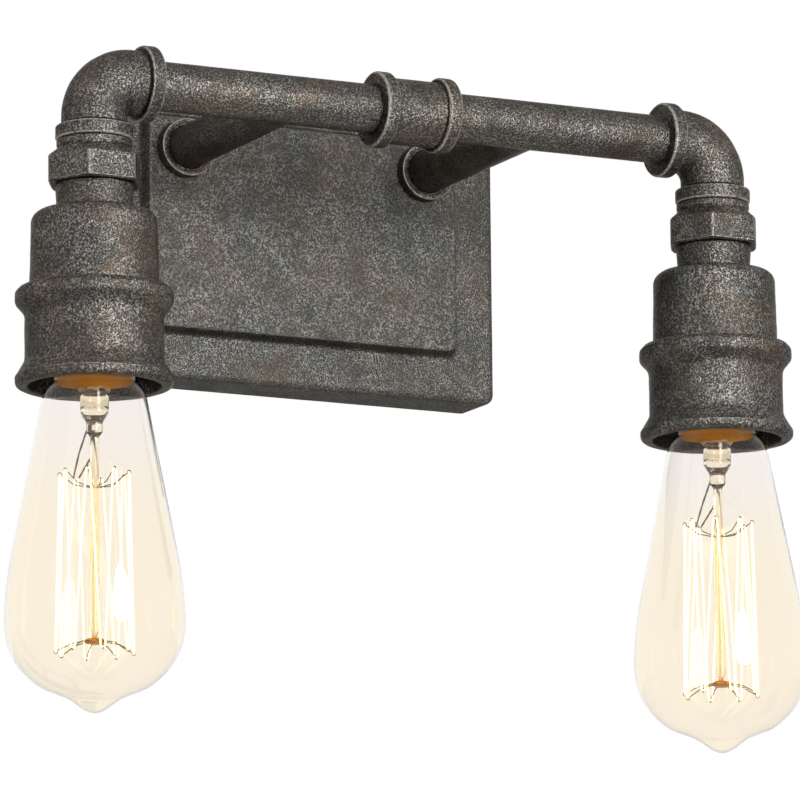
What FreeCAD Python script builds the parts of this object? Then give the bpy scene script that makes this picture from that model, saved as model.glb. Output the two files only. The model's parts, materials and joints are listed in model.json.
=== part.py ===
import FreeCAD, Part
import math
import os

# A two-lamp wall light built from pipe fittings: a stepped backplate, two arms, a crossbar with a banded
# coupling, two elbows, and under each elbow a hex bushing, a neck, a reducer, a banded cup and a bulb.
# Millimetres. X runs along the wall, Y into the wall, Z up. The origin is the centre of the backplate on
# the wall plane. Heights that belong to a lamp are measured from the crossbar's axis, down as negative.

V = FreeCAD.Vector
UP = V(0, 0, 1)
DOWN = V(0, 0, -1)
ALONG = V(1, 0, 0)
INWARD = V(0, 1, 0)
HERE = V(0, 0, 0)

# ---- driving dimensions ----

# backplate: a hollow cover with a raised panel, open towards the wall
plate_width = 166.0
plate_height = 116.0
rim_depth = 22.0
panel_rise = 6.0
panel_side_inset = 19.0
panel_end_inset = 18.0
panel_draft = 1.5
plate_wall = 2.0
plate_corner_radius = 4.0
plate_edge_radius = 2.5
panel_edge_radius = 1.2
inner_corner_radius = 1.0
inner_edge_radius = 0.5

# strap inside the backplate, screwed to the outlet box
strap_thickness = 1.6
strap_height = 26.0
strap_gap = 0.3
strap_tab_depth = 15.0
strap_bend = 1.4
box_screw_spacing = 79.4
box_slot_length = 15.0
box_slot_width = 4.6
side_screw_radius = 2.0
side_screw_setback = 8.0
side_screw_length = 9.0
side_head_radius = 3.8
side_head_height = 2.4
ground_screw_radius = 2.0
ground_screw_x = 20.0
ground_screw_z = 7.0
ground_head_radius = 4.2
ground_head_height = 2.4

# arms between the backplate and the crossbar; arm_inset is from the panel's side to an arm's axis
arm_inset = 14.0
arm_reach = 87.3
arm_radius = 8.2
arm_wall = 1.4
arm_heel = 10.0
flange_radius = 11.1
flange_height = 5.0
flange_edge = 0.6
stud_radius = 5.0
stud_bore = 3.4
stud_grip = 12.0
thread_chamfer = 0.6
nut_flats = 14.0
nut_height = 3.6
nut_chamfer = 0.8
washer_radius = 8.1
washer_thickness = 1.0
bushing_rim = 1.2
bushing_wall = 0.7
bushing_depth = 4.0

# crossbar and its coupling
bar_height = 27.7
bar_radius = 9.05
bar_wall = 1.5
bar_joint_gap = 1.0
coupling_length = 31.0
coupling_radius = 12.3
band_radius = 14.1
band_width = 5.6
band_edge = 1.1

# lamps
lamp_spacing = 253.0
elbow_radius = 12.0
elbow_bend = 14.0
elbow_reach = 22.8
elbow_socket_depth = 9.0
elbow_bore = 6.6
bead_height = 2.2
bead_radius = 13.6
bead_nose = 12.94
throat_height = 3.9
throat_radius = 13.0
throat_flare = 0.5
throat_waist = 0.6
hex_flats = 32.0
hex_height = 10.2
hex_chamfer = 0.8
neck_height = 9.4
neck_top_radius = 14.2
neck_foot_radius = 13.5
reducer_height = 28.2
reducer_top_radius = 22.7
reducer_foot_radius = 23.3
reducer_shoulder = 4.6
reducer_wall = 2.4
reducer_spigot = 7.0
cup_height = 35.8
cup_radius = 25.0
cup_bore = 23.7
cup_rim_radius = 28.5
cup_rim_height = 5.6
cup_lip = 1.6
cup_brow = 1.0
cup_flare = 0.5
cup_groove = 0.6

# threaded rod, yoke and lampholder inside each lamp
rod_radius = 5.0
rod_bore = 3.4
rod_rise = 9.0
rod_drop = 8.4
yoke_thickness = 1.5
yoke_width = 14.0
yoke_foot_length = 7.0
yoke_clearance = 5.0
holder_radius = 17.2
holder_roof = 7.0
holder_shoulder = 3.2
holder_lip = 1.2
shell_thickness = 0.5
shell_tab_width = 6.0
tongue_thickness = 0.6
tongue_width = 6.0
terminal_offset = 10.6
terminal_screw_radius = 1.7
terminal_screw_length = 5.5
terminal_head_radius = 3.0
terminal_head_height = 1.9

# bulb: a long pear-shaped envelope on a medium screw cap
bulb_radius = 32.0
bulb_drop = 116.5
bulb_equator = 84.5
bulb_neck_radius = 18.5
bulb_neck_end = 3.0
bulb_flank_radius = 123.0
bulb_belly_radius = 26.5
bulb_belly_angle = 58.0
bulb_glass = 0.8
bulb_pip_radius = 6.0
bulb_pip_height = 2.8
cap_radius = 13.0
cap_height = 26.0
cap_seat = 5.0
cap_wall = 0.5
cap_crown = 6.6
cap_hole = 8.0
thread_pitch = 3.63
thread_depth = 0.75
thread_turns = 4
insulator_height = 3.0
insulator_plug = 1.4
contact_radius = 4.8
contact_height = 1.1
stem_radius = 5.1
stem_wall = 0.9
stem_length = 9.0
pinch_radius = 2.9
pinch_end = 17.5
spine_radius = 1.5
spine_end = 91.0
button_radius = 3.7
button_height = 2.6
cage_top_radius = 12.5
cage_foot_radius = 14.0
cage_top = 31.0
cage_foot = 95.0
strand_pairs = 8
strand_gap = 6.4
filament_radius = 0.3
filament_bend = 0.6
support_radius = 0.3
support_rise = 5.0
lead_radius = 0.4
lead_angle = 100.0
lead_spread = 40.0

# wiring
wire_radius = 0.95
wire_offset = 0.95
wire_bend = 5.0
wire_turn = 1.5
wire_kink = 3.0
wire_exit = 9.0
wire_step = 8.0
wire_nut_radius = 5.6
wire_nut_length = 19.0
wire_nut_wall = 1.2
wire_nut_hollow = 9.0
wire_nut_z = -8.0
wire_nut_x = {"live": 16.0, "neutral": -16.0, "ground": 34.0}
wire_level = {"live": 16.0, "neutral": 6.0}

# screw heads and nuts, as shares of their own sizes
chamfer_slope = 0.6
pan_edge = 0.45
pan_flat = 0.35
pan_brow = 0.78
pan_swell = 0.7
slot_width = 0.4
slot_depth = 0.5
screw_lead = 0.4

# clearances
running_gap = 0.1
thread_gap = 0.05
seat_gap = 0.3
cut_over = 1.0

# ---- places that follow from them ----

plate_depth = rim_depth + panel_rise
bar_y = -(plate_depth + arm_reach)
inside_face = -plate_depth + plate_wall
stud_end = -plate_depth + stud_grip
strap_half = plate_width / 2 - plate_wall - strap_gap
arm_x = plate_width / 2 - panel_side_inset - arm_inset
lamp_x = lamp_spacing / 2
bead_top = -elbow_reach
bead_foot = bead_top - bead_height
hex_top = bead_foot - throat_height
neck_top = hex_top - hex_height
reducer_top = neck_top - neck_height
reducer_roof = reducer_top - reducer_wall
cup_top = reducer_top - reducer_height
cup_foot = cup_top - cup_height
cap_joint = cup_foot + cap_seat
cap_tip = cap_joint + cap_height
cap_shoulder = cap_tip - contact_height - insulator_height
thread_top = cap_tip - cap_crown
thread_foot = thread_top - thread_turns * thread_pitch
holder_foot = cap_joint + seat_gap
holder_ceiling = cap_tip + seat_gap + tongue_thickness
holder_top = holder_ceiling + holder_roof
shell_inner = cap_radius + running_gap
shell_outer = shell_inner + thread_depth + shell_thickness
rod_top = -elbow_reach + rod_rise
yoke_top = reducer_roof - nut_height
rod_foot = reducer_roof - rod_drop
wire_nut_y = inside_face + wire_nut_radius + wire_kink
wire_pair = wire_radius + seat_gap
SIDES = (("left", -1), ("right", 1))


# ---- helpers ----

def box(x0, x1, y0, y1, z0, z1):
    """A block between two corners, given in any order."""
    low = V(min(x0, x1), min(y0, y1), min(z0, z1))
    return Part.makeBox(abs(x1 - x0), abs(y1 - y0), abs(z1 - z0), low)


def bar(axis, radius, start, length):
    """A round bar from a start point along an axis."""
    return Part.makeCylinder(radius, length, start, axis)


def eased(radius):
    """How far the middle of a quarter arc lies from the corner it rounds, along each side."""
    return radius * (1 - math.sqrt(0.5))


def turned(start, *steps):
    """A solid turned about Z. A step is a (radius, height) point, or a (middle, end) pair for an arc."""
    edges = []
    first = V(start[0], 0, start[1])
    here = first
    for step in steps:
        if isinstance(step[0], tuple):
            middle = V(step[0][0], 0, step[0][1])
            there = V(step[1][0], 0, step[1][1])
            edges.append(Part.Arc(here, middle, there).toShape())
        else:
            there = V(step[0], 0, step[1])
            edges.append(Part.LineSegment(here, there).toShape())
        here = there
    edges.append(Part.LineSegment(here, first).toShape())
    return Part.Face(Part.Wire(edges)).revolve(HERE, UP, 360)


def hex_bar(flats, z0, z1):
    """A hexagonal bar about Z, with a flat towards -Y."""
    corner = flats / math.sqrt(3)
    ring = []
    for k in range(7):
        angle = math.radians(60 * k)
        ring.append(V(corner * math.cos(angle), corner * math.sin(angle), z0))
    return Part.Face(Part.makePolygon(ring)).extrude(UP * (z1 - z0))


def chamfered_hex(flats, z0, z1, chamfer):
    """A hexagonal bar with its corners turned down at both ends."""
    corner = flats / math.sqrt(3)
    drop = chamfer * chamfer_slope
    guard = turned((0, z0), (corner - chamfer, z0), (corner, z0 + drop), (corner, z1 - drop),
                   (corner - chamfer, z1), (0, z1))
    return hex_bar(flats, z0, z1).common(guard)


def locknut(radius):
    """A thin hex nut about Z for a thread of that radius, from z = 0 up."""
    blank = chamfered_hex(nut_flats, 0, nut_height, nut_chamfer)
    return blank.cut(bar(UP, radius + thread_gap, HERE, nut_height))


def rounded_path(points, radii):
    """Straight runs through points, joined by tangent arcs of the given radii."""
    edges = []
    here = points[0]
    for k in range(1, len(points) - 1):
        into = points[k].sub(points[k - 1]).normalize()
        out = points[k + 1].sub(points[k]).normalize()
        turn = into.getAngle(out)
        reach = radii[k - 1] * math.tan(turn / 2)
        depth = radii[k - 1] * (1 / math.cos(turn / 2) - 1)
        inward = out.sub(into).normalize()
        a = points[k].sub(into * reach)
        b = points[k].add(out * reach)
        edges.append(Part.LineSegment(here, a).toShape())
        edges.append(Part.Arc(a, points[k].add(inward * depth), b).toShape())
        here = b
    edges.append(Part.LineSegment(here, points[-1]).toShape())
    return Part.Wire(edges)


def wire_along(points, radii, radius):
    """A round wire along straight runs and arcs."""
    path = rounded_path(points, radii)
    ring = Part.Wire([Part.makeCircle(radius, points[0], points[1].sub(points[0]))])
    sweep = Part.BRepOffsetAPI.MakePipeShell(path)
    sweep.add(ring)
    sweep.build()
    sweep.makeSolid()
    return sweep.shape()


def mirrored(shape):
    """The same piece for the other end of the light."""
    return shape.mirror(HERE, ALONG)


def at_lamp(shape, side):
    """Moves a piece drawn about the lamp's axis, with heights from the crossbar's axis, to its lamp."""
    placed = shape.copy()
    placed.translate(V(side * lamp_x, bar_y, bar_height))
    return placed


def at_both_lamps(shape):
    return Part.makeCompound([at_lamp(shape, side) for _, side in SIDES])


def on_stud(shape, side, y):
    """Turns a piece drawn about Z to point at the wall, on an arm's stud."""
    placed = shape.copy()
    placed.rotate(HERE, ALONG, -90)
    placed.translate(V(side * arm_x, y, bar_height))
    return placed


def on_both_studs(shape, y):
    return Part.makeCompound([on_stud(shape, side, y) for _, side in SIDES])


def pan_screw(radius, length, head_radius, head_height):
    """A slotted pan-head screw about Z: the head sits on z = 0 and the shank points down."""
    edge = head_height * pan_edge
    flat = head_radius * pan_flat
    lead = radius * screw_lead
    head = turned((0, 0), (head_radius, 0), (head_radius, edge),
                  ((head_radius * pan_brow, edge + (head_height - edge) * pan_swell), (flat, head_height)),
                  (0, head_height))
    reach = head_radius + cut_over
    half = radius * slot_width / 2
    slot = box(-reach, reach, -half, half, head_height * (1 - slot_depth), head_height + cut_over)
    shank = turned((0, 0), (radius, 0), (radius, lead - length), (radius - lead, -length), (0, -length))
    return head.cut(slot).fuse(shank)


# ---- backplate ----

def rounded_rectangle(width, height, radius, y):
    """A closed wire with rounded corners, centred on the Y axis."""
    middle = eased(radius)
    last = V(width / 2, y, radius - height / 2)
    edges = []
    for k, (sx, sz) in enumerate(((1, 1), (-1, 1), (-1, -1), (1, -1))):
        x = sx * width / 2
        z = sz * height / 2
        along_x = V(x - sx * radius, y, z)
        along_z = V(x, y, z - sz * radius)
        a, b = (along_z, along_x) if k % 2 == 0 else (along_x, along_z)
        edges.append(Part.LineSegment(last, a).toShape())
        edges.append(Part.Arc(a, V(x - sx * middle, y, z - sz * middle), b).toShape())
        last = b
    return Part.Wire(edges)


def edges_in_plane(shape, y):
    """The edges of a shape that lie in the plane at that y."""
    found = []
    for edge in shape.Edges:
        if abs(edge.BoundBox.YMin - y) < 1e-6 and abs(edge.BoundBox.YMax - y) < 1e-6:
            found.append(edge)
    return found


def cover_block(shrink, corner, rim_edge, face_edge):
    """The cover's rim and panel as one solid, drawn in by shrink at the sides and the front."""
    rim_y = shrink - rim_depth
    face_y = shrink - plate_depth
    face_width = plate_width - 2 * (panel_side_inset + shrink)
    face_height = plate_height - 2 * (panel_end_inset + shrink)
    rim = Part.Face(rounded_rectangle(plate_width - 2 * shrink, plate_height - 2 * shrink, corner, 0))
    rim = rim.extrude(V(0, rim_y, 0))
    rim = rim.makeFillet(rim_edge, edges_in_plane(rim, rim_y))
    root = rounded_rectangle(face_width + 2 * panel_draft, face_height + 2 * panel_draft, corner, rim_y)
    face = rounded_rectangle(face_width, face_height, corner, face_y)
    panel = Part.makeLoft([root, face], True, True)
    panel = panel.makeFillet(face_edge, edges_in_plane(panel, face_y))
    return rim.fuse(panel).removeSplitter()


def backplate():
    body = cover_block(0, plate_corner_radius, plate_edge_radius, panel_edge_radius)
    body = body.cut(cover_block(plate_wall, inner_corner_radius, inner_edge_radius, inner_edge_radius))
    through = plate_wall + 2 * cut_over
    for _, side in SIDES:
        stud_hole = V(side * arm_x, -plate_depth - cut_over, bar_height)
        body = body.cut(bar(INWARD, stud_radius + running_gap, stud_hole, through))
        screw_hole = V(side * (plate_width / 2 + cut_over), -side_screw_setback, 0)
        body = body.cut(bar(ALONG * -side, side_screw_radius + seat_gap, screw_hole, through))
    return body


# ---- wall strap and its fasteners ----

def strap_slot(x):
    """The cutter for a slot along X, for a screw of the outlet box."""
    half = (box_slot_length - box_slot_width) / 2
    y0 = -strap_thickness - cut_over
    deep = strap_thickness + 2 * cut_over
    cutter = box(x - half, x + half, y0, y0 + deep, -box_slot_width / 2, box_slot_width / 2)
    for end in (x - half, x + half):
        cutter = cutter.fuse(bar(INWARD, box_slot_width / 2, V(end, y0, 0), deep))
    return cutter


def mounting_strap():
    half = strap_height / 2
    deep = strap_thickness + 2 * cut_over
    strap = box(-strap_half, strap_half, -strap_thickness, 0, -half, half)
    for _, side in SIDES:
        edge = side * strap_half
        strap = strap.fuse(box(edge, edge - side * strap_thickness, -strap_tab_depth, 0, -half, half))
        strap = strap.cut(strap_slot(side * box_screw_spacing / 2))
    strap = strap.removeSplitter()
    bends = []
    for edge in edges_in_plane(strap, 0):
        if abs(edge.BoundBox.ZLength - strap_height) < 1e-6:
            bends.append(edge)
    strap = strap.makeFillet(strap_bend, bends)
    ground_hole = V(ground_screw_x, -strap_thickness - cut_over, ground_screw_z)
    strap = strap.cut(bar(INWARD, ground_screw_radius + thread_gap, ground_hole, deep))
    tab_holes = V(-strap_half - cut_over, -side_screw_setback, 0)
    return strap.cut(bar(ALONG, side_screw_radius + thread_gap, tab_holes, 2 * (strap_half + cut_over)))


def side_screws():
    """The two screws that hold the cover on the strap's tabs."""
    screw = pan_screw(side_screw_radius, side_screw_length, side_head_radius, side_head_height)
    screw.rotate(HERE, INWARD, 90)
    screw.translate(V(plate_width / 2, -side_screw_setback, 0))
    return Part.makeCompound([mirrored(screw), screw])


def ground_screw():
    """The screw that clamps the ground wire on the strap, with the wire under its head."""
    wire = 2 * wire_radius
    screw = pan_screw(ground_screw_radius, wire + strap_thickness, ground_head_radius, ground_head_height)
    screw.rotate(HERE, ALONG, 90)
    screw.translate(V(ground_screw_x, -strap_thickness - wire, ground_screw_z))
    return screw


# ---- arms ----

def arm_flange(side):
    """The collar round an arm, where it meets the panel."""
    bore = arm_radius + running_gap
    ring = turned((bore, 0), (flange_radius, 0), (flange_radius, flange_height - flange_edge),
                  (flange_radius - flange_edge, flange_height), (bore, flange_height))
    ring.rotate(HERE, ALONG, 90)
    ring.translate(V(side * arm_x, -plate_depth, bar_height))
    return ring


def arm_pipe(side):
    """A tube from the panel to the crossbar: coped over the bar, with a hollow threaded stud at the back."""
    inner = arm_radius - arm_wall
    tube = turned((stud_bore, -stud_grip), (stud_radius - thread_chamfer, -stud_grip),
                  (stud_radius, thread_chamfer - stud_grip), (stud_radius, 0), (arm_radius, 0),
                  (arm_radius, arm_reach), (inner, arm_reach), (inner, arm_heel), (stud_bore, arm_heel))
    tube.rotate(HERE, ALONG, 90)
    tube.translate(V(side * arm_x, -plate_depth, bar_height))
    cope = V(side * arm_x - band_radius, bar_y, bar_height)
    return tube.cut(bar(ALONG, bar_radius, cope, 2 * band_radius))


def arm_washers():
    bore = stud_radius + running_gap
    ring = turned((bore, 0), (washer_radius, 0), (washer_radius, washer_thickness), (bore, washer_thickness))
    return on_both_studs(ring, inside_face)


def arm_locknuts():
    return on_both_studs(locknut(stud_radius), inside_face + washer_thickness)


def arm_bushings():
    """Plastic grommets that keep the wires off the studs' sharp ends."""
    throat = stud_bore - bushing_wall
    outer = stud_bore - thread_gap
    grommet = turned((throat, -bushing_depth), (outer, -bushing_depth), (outer, 0), (stud_radius, 0),
                     (stud_radius, bushing_rim), (throat, bushing_rim))
    return on_both_studs(grommet, stud_end)


# ---- crossbar ----

def crossbar_pipe(side):
    """Half of the crossbar, from the elbow's socket to the middle of the coupling."""
    near = side * bar_joint_gap / 2
    start = V(near, bar_y, bar_height)
    length = lamp_x - elbow_reach + elbow_socket_depth - bar_joint_gap / 2
    pipe = bar(ALONG * side, bar_radius, start, length)
    pipe = pipe.cut(bar(ALONG * side, bar_radius - bar_wall, start, length))
    return pipe.cut(bar(INWARD, arm_radius - arm_wall, V(side * arm_x, bar_y, bar_height), band_radius))


def band_steps(z0, z1, sleeve):
    """The outline of a raised band between two heights, with eased corners."""
    r = band_radius
    e = band_edge
    m = eased(e)
    return [(sleeve, z0), (r - e, z0), ((r - m, z0 + m), (r, z0 + e)), (r, z1 - e),
            ((r - m, z1 - m), (r - e, z1)), (sleeve, z1)]


def coupling():
    """The sleeve over the crossbar's joint, with a band at each end."""
    half = coupling_length / 2
    bore = bar_radius + running_gap
    body = turned((bore, -half), *band_steps(-half, band_width - half, coupling_radius),
                  *band_steps(half - band_width, half, coupling_radius), (bore, half))
    body.rotate(HERE, INWARD, 90)
    body.translate(V(0, bar_y, bar_height))
    return body


# ---- elbow ----

def elbow_run(radius):
    """A quarter bend of round bar with its corner at the origin: one end faces +X and the other down."""
    leg = elbow_reach - elbow_bend
    section = Part.Face(Part.Wire([Part.makeCircle(radius, V(0, 0, -elbow_bend), UP)]))
    bend = section.revolve(V(elbow_bend, 0, -elbow_bend), INWARD, 90)
    along = bar(ALONG, radius, V(elbow_bend, 0, 0), leg)
    down = bar(DOWN, radius, V(0, 0, -elbow_bend), leg)
    return bend.fuse(along).fuse(down)


def elbow():
    """Drawn for the left lamp, with its corner at the origin."""
    band = turned((0, elbow_reach - band_width),
                  *band_steps(elbow_reach - band_width, elbow_reach, elbow_radius), (0, elbow_reach))
    foot_band = band.copy()
    foot_band.rotate(HERE, ALONG, 180)
    band.rotate(HERE, INWARD, 90)
    leg = elbow_reach - elbow_bend
    body = elbow_run(elbow_radius).fuse(band).fuse(foot_band).removeSplitter()
    section = Part.Face(Part.Wire([Part.makeCircle(elbow_bore, V(0, 0, -elbow_bend), UP)]))
    way = section.revolve(V(elbow_bend, 0, -elbow_bend), INWARD, 90)
    body = body.cut(way.fuse(bar(ALONG, elbow_bore, V(elbow_bend, 0, 0), leg)))
    socket = V(elbow_reach - elbow_socket_depth, 0, 0)
    body = body.cut(bar(ALONG, bar_radius + running_gap, socket, elbow_socket_depth + cut_over))
    return body.cut(bar(DOWN, rod_radius + thread_gap, V(0, 0, -elbow_bend), leg + cut_over))


# ---- pipe fittings of one lamp ----

def hex_bushing():
    """A bead, a waisted throat and a hexagon, in one casting."""
    bore = rod_radius + running_gap
    waist = (throat_radius + throat_flare, bead_foot - throat_height * throat_waist)
    top = turned((bore, bead_top), (bead_nose, bead_top),
                 ((bead_radius, bead_top - bead_height / 2), (throat_radius, bead_foot)),
                 (waist, (hex_flats / 2 - hex_chamfer, hex_top)), (bore, hex_top))
    nut = chamfered_hex(hex_flats, neck_top, hex_top, hex_chamfer)
    nut = nut.cut(bar(UP, bore, V(0, 0, neck_top), hex_height))
    return top.fuse(nut).removeSplitter()


def neck():
    """The plain tapered collar between the hexagon and the reducer."""
    bore = rod_radius + running_gap
    return turned((bore, neck_top), (neck_top_radius, neck_top), (neck_foot_radius, reducer_top),
                  (bore, reducer_top))


def reducer():
    """A bell with a rounded shoulder; its foot slides into the cup."""
    bore = rod_radius + running_gap
    s = reducer_shoulder
    m = eased(s)
    outer = reducer_top_radius
    inner = reducer_top_radius - reducer_wall
    spigot = cup_bore - running_gap
    foot = cup_top - reducer_spigot
    return turned((bore, reducer_top), (outer - s, reducer_top),
                  ((outer - m, reducer_top - m), (outer, reducer_top - s)), (reducer_foot_radius, cup_top),
                  (spigot, cup_top), (spigot, foot), (spigot - reducer_wall, foot), (inner, reducer_roof - s),
                  ((inner - m, reducer_roof - m), (inner - s, reducer_roof)), (bore, reducer_roof))


def cup():
    """A banded sleeve: a rolled rim at each end of a plain barrel."""
    rim = cup_rim_radius
    brow = rim - cup_brow
    flare = rim - cup_flare
    h = cup_rim_height
    r = cup_radius
    top = cup_top
    foot = cup_foot
    upper = [(r - cup_groove, top), ((brow, top - h * 0.18), (rim, top - h * 0.5)),
             ((flare, top - h * 0.8), ((rim + r) / 2, top - h * 1.12)),
             ((r + cup_flare, top - h * 1.4), (r, top - h * 1.95))]
    lower = [(r, foot + h * 1.8), ((r + cup_groove, foot + h * 1.2), (brow, foot + h * 0.86)),
             (flare, foot + h * 0.8), ((rim, foot + h * 0.45), (brow, foot + h * 0.1)), (rim - cup_lip, foot)]
    return turned((cup_bore, top), *upper, *lower, (cup_bore, foot))


# ---- threaded rod, yoke and lampholder ----

def lamp_rod():
    """The hollow threaded rod that clamps elbow, bushing, neck and reducer together."""
    c = thread_chamfer
    return turned((rod_bore, rod_foot), (rod_radius - c, rod_foot), (rod_radius, rod_foot + c),
                  (rod_radius, rod_top - c), (rod_radius - c, rod_top), (rod_bore, rod_top))


def rod_locknuts():
    nut = locknut(rod_radius)
    nut.translate(V(0, 0, yoke_top))
    return at_both_lamps(nut)


def yoke():
    """A bent steel bridge: its crown is threaded on the rod and its feet are screwed to the porcelain."""
    t = yoke_thickness
    w = yoke_width / 2
    span = terminal_offset + yoke_clearance
    crown = box(-span, span, -w, w, yoke_top - t, yoke_top)
    for _, side in SIDES:
        end = side * span
        crown = crown.fuse(box(end, side * (span - t), -w, w, holder_top, yoke_top))
        crown = crown.fuse(box(end, side * (span - yoke_foot_length), -w, w, holder_top, holder_top + t))
    crown = crown.removeSplitter()
    crown = crown.cut(bar(DOWN, rod_radius + thread_gap, V(0, 0, yoke_top), t))
    for _, side in SIDES:
        hole = V(side * terminal_offset, 0, holder_top)
        crown = crown.cut(bar(UP, terminal_screw_radius + running_gap, hole, t))
    return crown


def lampholder():
    """The porcelain body round the screw shell, closed at the top and open at the foot."""
    bore = shell_outer + running_gap
    r = holder_radius
    s = holder_shoulder
    m = eased(s)
    lip = holder_lip
    n = eased(lip)
    body = turned((0, holder_top), (r - s, holder_top), ((r - m, holder_top - m), (r, holder_top - s)),
                  (r, holder_foot + lip), ((r - n, holder_foot + n), (r - lip, holder_foot)),
                  (bore, holder_foot), (bore, holder_ceiling), (0, holder_ceiling))
    for _, side in SIDES:
        screw_hole = V(side * terminal_offset, 0, holder_top)
        wire_hole = V(0, side * terminal_offset, holder_ceiling)
        body = body.cut(bar(DOWN, terminal_screw_radius, screw_hole, terminal_screw_length))
        body = body.cut(bar(UP, wire_radius + running_gap, wire_hole, holder_roof))
    return body


def thread_rings(crest, grow):
    """Steps down a rolled screw thread, drawn as rings. The crest comes first, and grow is signed."""
    steps = []
    q = thread_pitch / 4
    for k in range(thread_turns):
        z = thread_top - k * thread_pitch
        steps.append(((crest + grow, z - q), (crest + grow / 2, z - 2 * q)))
        steps.append(((crest, z - 3 * q), (crest + grow / 2, z - 4 * q)))
    return steps


def screw_shell():
    """The brass shell that the cap turns in: one wall of even thickness, with rings for its thread."""
    t = shell_thickness
    crest = shell_inner
    half = thread_depth / 2
    middle = crest + half
    top = holder_ceiling
    foot = holder_foot + seat_gap
    skin = middle + t
    outer_rings = thread_rings(crest + t, thread_depth)
    inner_rings = thread_rings(crest, thread_depth)
    outside = turned((0, top), (skin, top), (skin, thread_top), *outer_rings, (skin, foot), (0, foot))
    inside = turned((0, top), (middle, top), (middle, thread_top), *inner_rings, (middle, foot), (0, foot))
    tab_half = shell_tab_width / 2
    tab = box(-tab_half, tab_half, 2 * wire_radius - terminal_offset, -middle - t / 2, top - t, top)
    return outside.cut(inside).fuse(tab).removeSplitter()


def centre_contact():
    """The springy brass tongue between the live wire and the bulb's tip contact."""
    half = tongue_width / 2
    top = holder_ceiling
    return box(-half, half, -half, terminal_offset + half / 2, top - tongue_thickness, top)


def terminal_screws():
    """The screws that hold the yokes' feet on the porcelain."""
    screw = pan_screw(terminal_screw_radius - running_gap, terminal_screw_length, terminal_head_radius,
                      terminal_head_height)
    screws = []
    for _, lamp in SIDES:
        for _, side in SIDES:
            placed = screw.copy()
            placed.translate(V(side * terminal_offset, 0, holder_top + yoke_thickness))
            screws.append(at_lamp(placed, lamp))
    return Part.makeCompound(screws)


# ---- bulb: depths are measured down from the cup's foot ----

def at_depth(radius, depth):
    return V(radius, 0, cup_foot - depth)


def envelope_solid(inset, tip_depth, pip):
    """The bulb's outer or inner surface as a full solid, moved in by inset."""
    across = bulb_neck_radius + bulb_flank_radius - bulb_radius
    down = bulb_equator - bulb_neck_end
    flank = math.atan2(down, across) - math.acos(bulb_flank_radius / math.hypot(across, down))
    belly = math.radians(bulb_belly_angle)
    big = bulb_flank_radius - inset
    small = bulb_belly_radius - inset
    flank_centre = bulb_radius - bulb_flank_radius
    belly_centre = bulb_radius - bulb_belly_radius

    def on_flank(angle):
        return at_depth(flank_centre + big * math.cos(angle), bulb_equator - big * math.sin(angle))

    def on_belly(angle):
        return at_depth(belly_centre + small * math.cos(angle), bulb_equator + small * math.sin(angle))

    shoulder = on_flank(flank)
    neck_end = at_depth(bulb_neck_radius - inset / math.cos(flank), bulb_neck_end)
    fairing = bulb_radius / 3
    lip = at_depth(cap_radius - cap_wall - inset, -cap_seat)
    tip = at_depth(0, tip_depth)
    throat = Part.BSplineCurve()
    throat.interpolate([lip, neck_end], InitialTangent=V(1.0, 0, -1.2) * cap_seat,
                       FinalTangent=V(math.tan(flank), 0, -1) * cap_seat)
    foot = Part.BSplineCurve()
    leaving = V(-math.sin(belly), 0, -math.cos(belly)) * fairing
    foot.interpolate([on_belly(belly)] + pip + [tip], InitialTangent=leaving, FinalTangent=V(-fairing, 0, 0))
    top = V(0, 0, lip.z)
    outline = [throat.toShape(), Part.LineSegment(neck_end, shoulder).toShape(),
               Part.Arc(shoulder, on_flank(flank / 2), on_flank(0)).toShape(),
               Part.Arc(on_belly(0), on_belly(belly / 2), on_belly(belly)).toShape(), foot.toShape(),
               Part.LineSegment(tip, top).toShape(), Part.LineSegment(top, lip).toShape()]
    return Part.Face(Part.Wire(outline)).revolve(HERE, UP, 360)


def bulb_envelope():
    """The blown glass, open at the neck, with a solid pip where it was sealed off."""
    r = bulb_pip_radius
    h = bulb_pip_height
    tip = bulb_drop
    fair = [at_depth(2.3 * r, tip - 2.6 * h), at_depth(1.4 * r, tip - 1.6 * h), at_depth(r, tip - h)]
    outside = envelope_solid(0, tip, fair)
    inside = envelope_solid(bulb_glass, tip - 2.6 * h, [at_depth(1.6 * r, tip - 2.9 * h)])
    return outside.cut(inside)


def bulb_cap():
    """The brass cap: a plain skirt, rolled thread rings and a shoulder up to the insulator."""
    r = cap_radius
    waist = r - thread_depth / 2
    inner = r - thread_depth - cap_wall
    return turned((cap_hole, cap_shoulder), (cap_hole + 2.6, cap_shoulder), (waist, thread_top),
                  *thread_rings(r - thread_depth, thread_depth), (waist, thread_foot - 0.5),
                  (r, thread_foot - 1.4), (r, cap_joint), (inner, cap_joint), (inner, thread_top),
                  (cap_hole + 1.4, cap_shoulder - cap_wall), (cap_hole, cap_shoulder - cap_wall))


def bulb_insulator():
    """The black glass disc between the cap and its tip contact."""
    z = cap_shoulder
    h = insulator_height
    plug = cap_hole - running_gap
    return turned((0, z - insulator_plug), (plug, z - insulator_plug), (plug, z), (cap_hole + 2.4, z),
                  ((cap_hole + 0.6, z + h * 0.62), (contact_radius + 0.4, z + h)), (0, z + h))


def bulb_contact():
    """The round tip contact, soldered on the insulator."""
    z = cap_shoulder + insulator_height
    r = contact_radius
    h = contact_height
    return turned((0, z), (r, z), (r, z + h * 0.2), ((r * 0.75, z + h * 0.8), (r * 0.3, z + h)), (0, z + h))


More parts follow.
